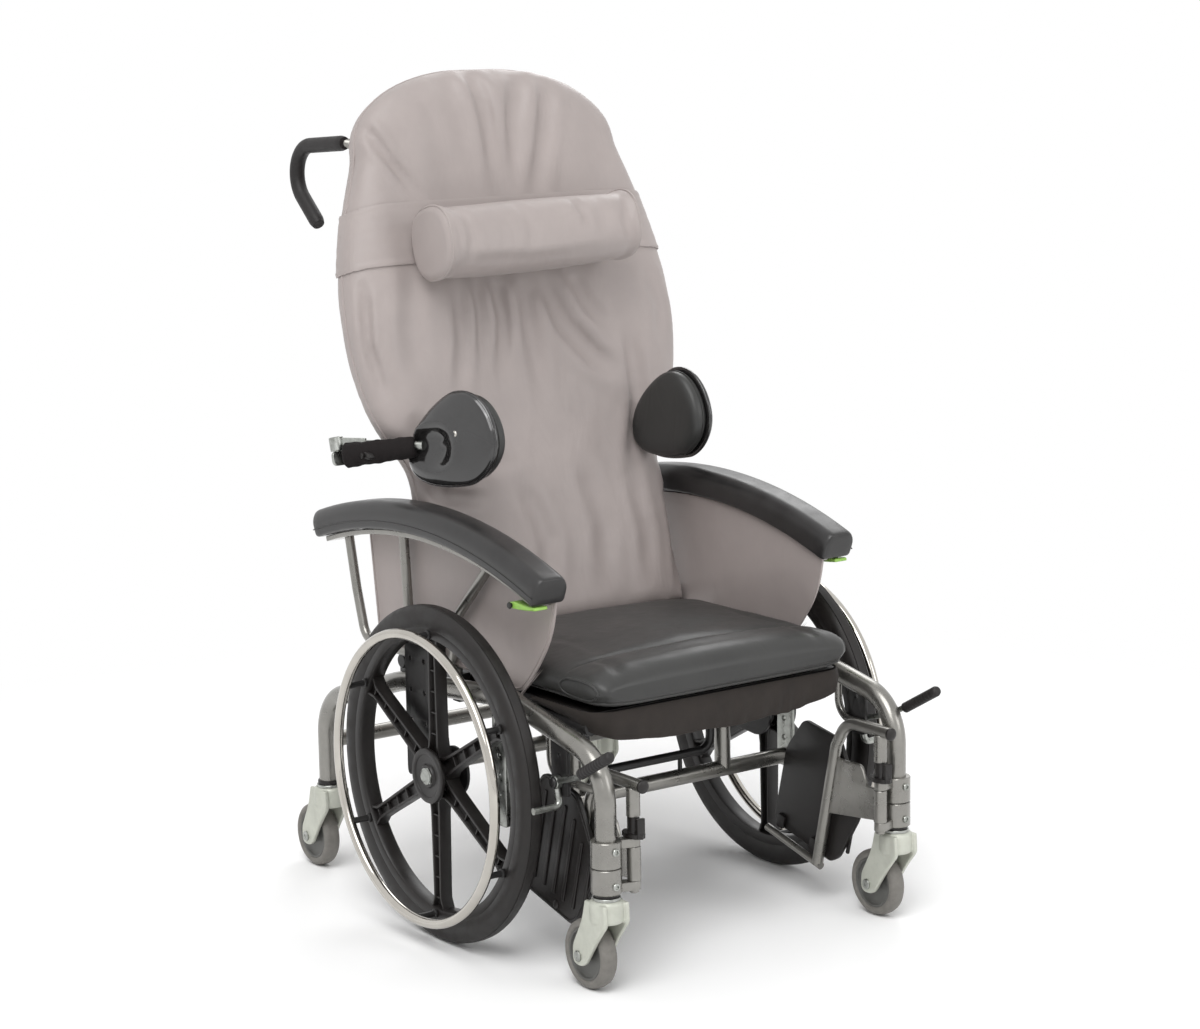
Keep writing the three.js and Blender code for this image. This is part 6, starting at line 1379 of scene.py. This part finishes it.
def build_stage(floor_tone, light_power, sun_strength):
    """Builds a pale floor, soft lights and a camera that matches the photograph"""
    scene = bpy.context.scene
    floor_mesh = mesh_of([(-40, -40, -0.0004), (40, -40, -0.0004), (40, 40, -0.0004), (-40, 40, -0.0004)],
                         [(0, 1, 2, 3)])
    floor_mesh.materials.append(paper_floor())
    floor = in_scene("floor", floor_mesh)
    for name, place, size, share in (("key", (-2.8, -3.0, 3.6), 2.2, 1.0), ("rim", (2.6, 2.4, 3.2), 2.0, 0.8),
                                     ("front", (1.6, -3.6, 2.0), 1.6, 0.45)):
        lamp = bpy.data.lights.new(name + "_softbox", "AREA")
        lamp.energy = light_power * share
        lamp.size = size
        aimed(lamp, place)
    sun = bpy.data.lights.new("window_light", "SUN")
    sun.energy = sun_strength
    sun.angle = math.radians(38)
    aimed(sun, (-1.8, -1.6, 4.6))
    world = bpy.data.worlds.new("studio")
    world.use_nodes = True
    tree = world.node_tree
    tree.nodes.clear()
    seen = add_node(tree, "ShaderNodeLightPath")
    way = add_node(tree, "ShaderNodeTexCoord").outputs["Generated"]
    height = add_node(tree, "ShaderNodeSeparateXYZ", links={"Vector": way}).outputs["Z"]
    level = add_node(tree, "ShaderNodeMapRange", {"From Min": 0.0, "From Max": 0.8, "To Min": 0.45 * floor_tone,
                                                 "To Max": 1.3 * floor_tone}, {"Value": height})
    white = add_node(tree, "ShaderNodeBackground", {"Color": (1, 1, 1, 1), "Strength": 1.0})
    soft = add_node(tree, "ShaderNodeBackground", {"Color": (1, 1, 1, 1)}, {"Strength": level.outputs["Result"]})
    bounced = add_node(tree, "ShaderNodeMath", {"operation": "MAXIMUM"},
                       {0: seen.outputs["Is Glossy Ray"], 1: seen.outputs["Is Transmission Ray"]})
    shown = add_node(tree, "ShaderNodeMath", {"operation": "MAXIMUM"},
                     {0: seen.outputs["Is Camera Ray"], 1: bounced.outputs[0]})
    mix = add_node(tree, "ShaderNodeMixShader", links={0: shown.outputs[0], 1: soft.outputs[0], 2: white.outputs[0]})
    add_node(tree, "ShaderNodeOutputWorld", links={"Surface": mix.outputs[0]})
    scene.world = world
    scene.view_settings.view_transform = "Standard"
    camera_data = bpy.data.cameras.new("photo_camera")
    camera_data.sensor_width = 36
    camera_data.lens = 86.259
    camera_data.shift_x = -0.008796
    camera_data.shift_y = -0.001088
    camera_data.clip_end = 100
    camera = in_scene("photo_camera", camera_data)
    right = Vector((0.8097073, -0.58662319, -0.0157267))
    up = Vector((0.1152582, 0.13269768, 0.98443226))
    ahead = Vector((0.57540389, 0.79891462, -0.17505941))
    basis = Matrix((right, up, -ahead)).transposed().to_4x4()
    camera.matrix_world = Matrix.Translation(at(-2522.179, -3510.221, 1378.632)) @ basis
    scene.camera = camera


# The add-on


def colour_choice(name, description, code):
    """A colour that a user can change."""
    return bpy.props.FloatVectorProperty(name=name, description=description, subtype="COLOR", size=4, min=0, max=1,
                                         default=linear(code))


def size_choice(name, description, value, low, high):
    """A size in millimetres that a user can change."""
    return bpy.props.FloatProperty(name=name, description=description, default=value, min=low, max=high,
                                   subtype="DISTANCE_CAMERA")


class ChairColours(bpy.types.PropertyGroup):
    """Colours of the chair's finishes."""
    frame: colour_choice("Frame", "Metallic coat of the tubes", "#918f8a")
    upholstery: colour_choice("Upholstery", "Vinyl of the back, the pillow and the side panels", "#aaa09d")
    cushion: colour_choice("Cushion", "Vinyl of the seat cushion and the chest pads", "#373736")
    apron: colour_choice("Apron", "Cloth under the front of the seat", "#37322f")
    lever: colour_choice("Levers", "Plastic of the finger levers", "#97c65a")
    moulding: colour_choice("Mouldings", "Nylon of the wheels and footplates", "#1f1c1b")


class ChairSizes(bpy.types.PropertyGroup):
    """Sizes of details, in millimetres."""
    crease_depth: size_choice("Crease depth", "How deep the creases of the upholstery are", 5.0, 0, 9)
    cover_cap: size_choice("Cover fullness", "How far the back cover may swell", 4.5, 0, 12)
    tread_groove: size_choice("Tread groove", "Depth of the grooves of the drive tyres", 0.8, 0, 1.5)
    cast_voxel: size_choice("Cast grain", "Voxel size of the cast forks", 1.1, 0.8, 3)
    spoke_ribs: bpy.props.IntProperty(name="Spoke ribs", description="Cross ribs in the channel of each spoke",
                                      default=5, min=2, max=9)


class StageSettings(bpy.types.PropertyGroup):
    """Light and surroundings."""
    floor_tone: bpy.props.FloatProperty(name="Ambient", description="Strength of the even light from all round",
                                        default=0.55, min=0, max=2)
    light_power: bpy.props.FloatProperty(name="Softboxes", description="Power of the strongest softbox", default=46,
                                         min=0, max=1000, unit="POWER")
    sun_strength: bpy.props.FloatProperty(name="Window", description="Strength of the broad light from above",
                                          default=1.35, min=0, max=10)


def operator(title, work, group="", *names):
    """An operator class that runs one builder, on a group of settings or on some of its values."""
    def execute(self, context):
        """Runs the builder on the settings in the scene."""
        values = []
        if group:
            settings = getattr(context.scene, group)
            values = [getattr(settings, name) for name in names] or [settings]
        work(*values)
        return {"FINISHED"}

    return type("CHAIR_OT_" + work.__name__, (bpy.types.Operator,), {
        "__doc__": work.__doc__, "bl_idname": "chair." + work.__name__, "bl_label": title,
        "bl_options": {"REGISTER", "UNDO"}, "execute": execute})


OPERATORS = [
    operator("Set Finishes", set_finishes, "chair_colours"),
    operator("Build Base", build_base),
    operator("Build Drive Wheels", build_drive_wheels, "chair_sizes", "spoke_ribs", "tread_groove"),
    operator("Build Casters", build_casters, "chair_sizes", "cast_voxel"),
    operator("Build Wheel Locks", build_wheel_locks),
    operator("Build Footrests", build_footrests),
    operator("Build Seat", build_seat, "chair_sizes", "crease_depth"),
    operator("Build Arms", build_arms),
    operator("Build Back", build_back, "chair_sizes", "crease_depth", "cover_cap"),
    operator("Build Chest Supports", build_laterals),
    operator("Build Springs", build_springs),
    operator("Build Stage", build_stage, "chair_stage", "floor_tone", "light_power", "sun_strength"),
]


class CHAIR_PT_dressing(bpy.types.Panel):
    """Settings and steps of the dressing."""
    bl_idname = "CHAIR_PT_dressing"
    bl_label = "Wheelchair Dressing"
    bl_space_type = "VIEW_3D"
    bl_region_type = "UI"
    bl_category = "Wheelchair"

    def draw(self, context):
        """Lays out the settings and a button for each operator."""
        layout = self.layout
        for group in (context.scene.chair_colours, context.scene.chair_sizes, context.scene.chair_stage):
            box = layout.box()
            for name in group.__annotations__:
                box.prop(group, name)
        for kind in OPERATORS:
            layout.operator(kind.bl_idname)


GROUPS = {"chair_colours": ChairColours, "chair_sizes": ChairSizes, "chair_stage": StageSettings}


def register():
    """Registers the settings, the operators and the panel."""
    for kind in (*GROUPS.values(), *OPERATORS, CHAIR_PT_dressing):
        bpy.utils.register_class(kind)
    for name, kind in GROUPS.items():
        setattr(bpy.types.Scene, name, bpy.props.PointerProperty(type=kind))


def unregister():
    """Takes out what register put in."""
    for name in GROUPS:
        delattr(bpy.types.Scene, name)
    for kind in reversed((*GROUPS.values(), *OPERATORS, CHAIR_PT_dressing)):
        bpy.utils.unregister_class(kind)


def main():
    """Runs every operator in order and writes the sizes."""
    register()
    for kind in OPERATORS:
        getattr(bpy.ops.chair, kind.bl_idname.split(".")[1])()


if __name__ == "__main__":
    main()
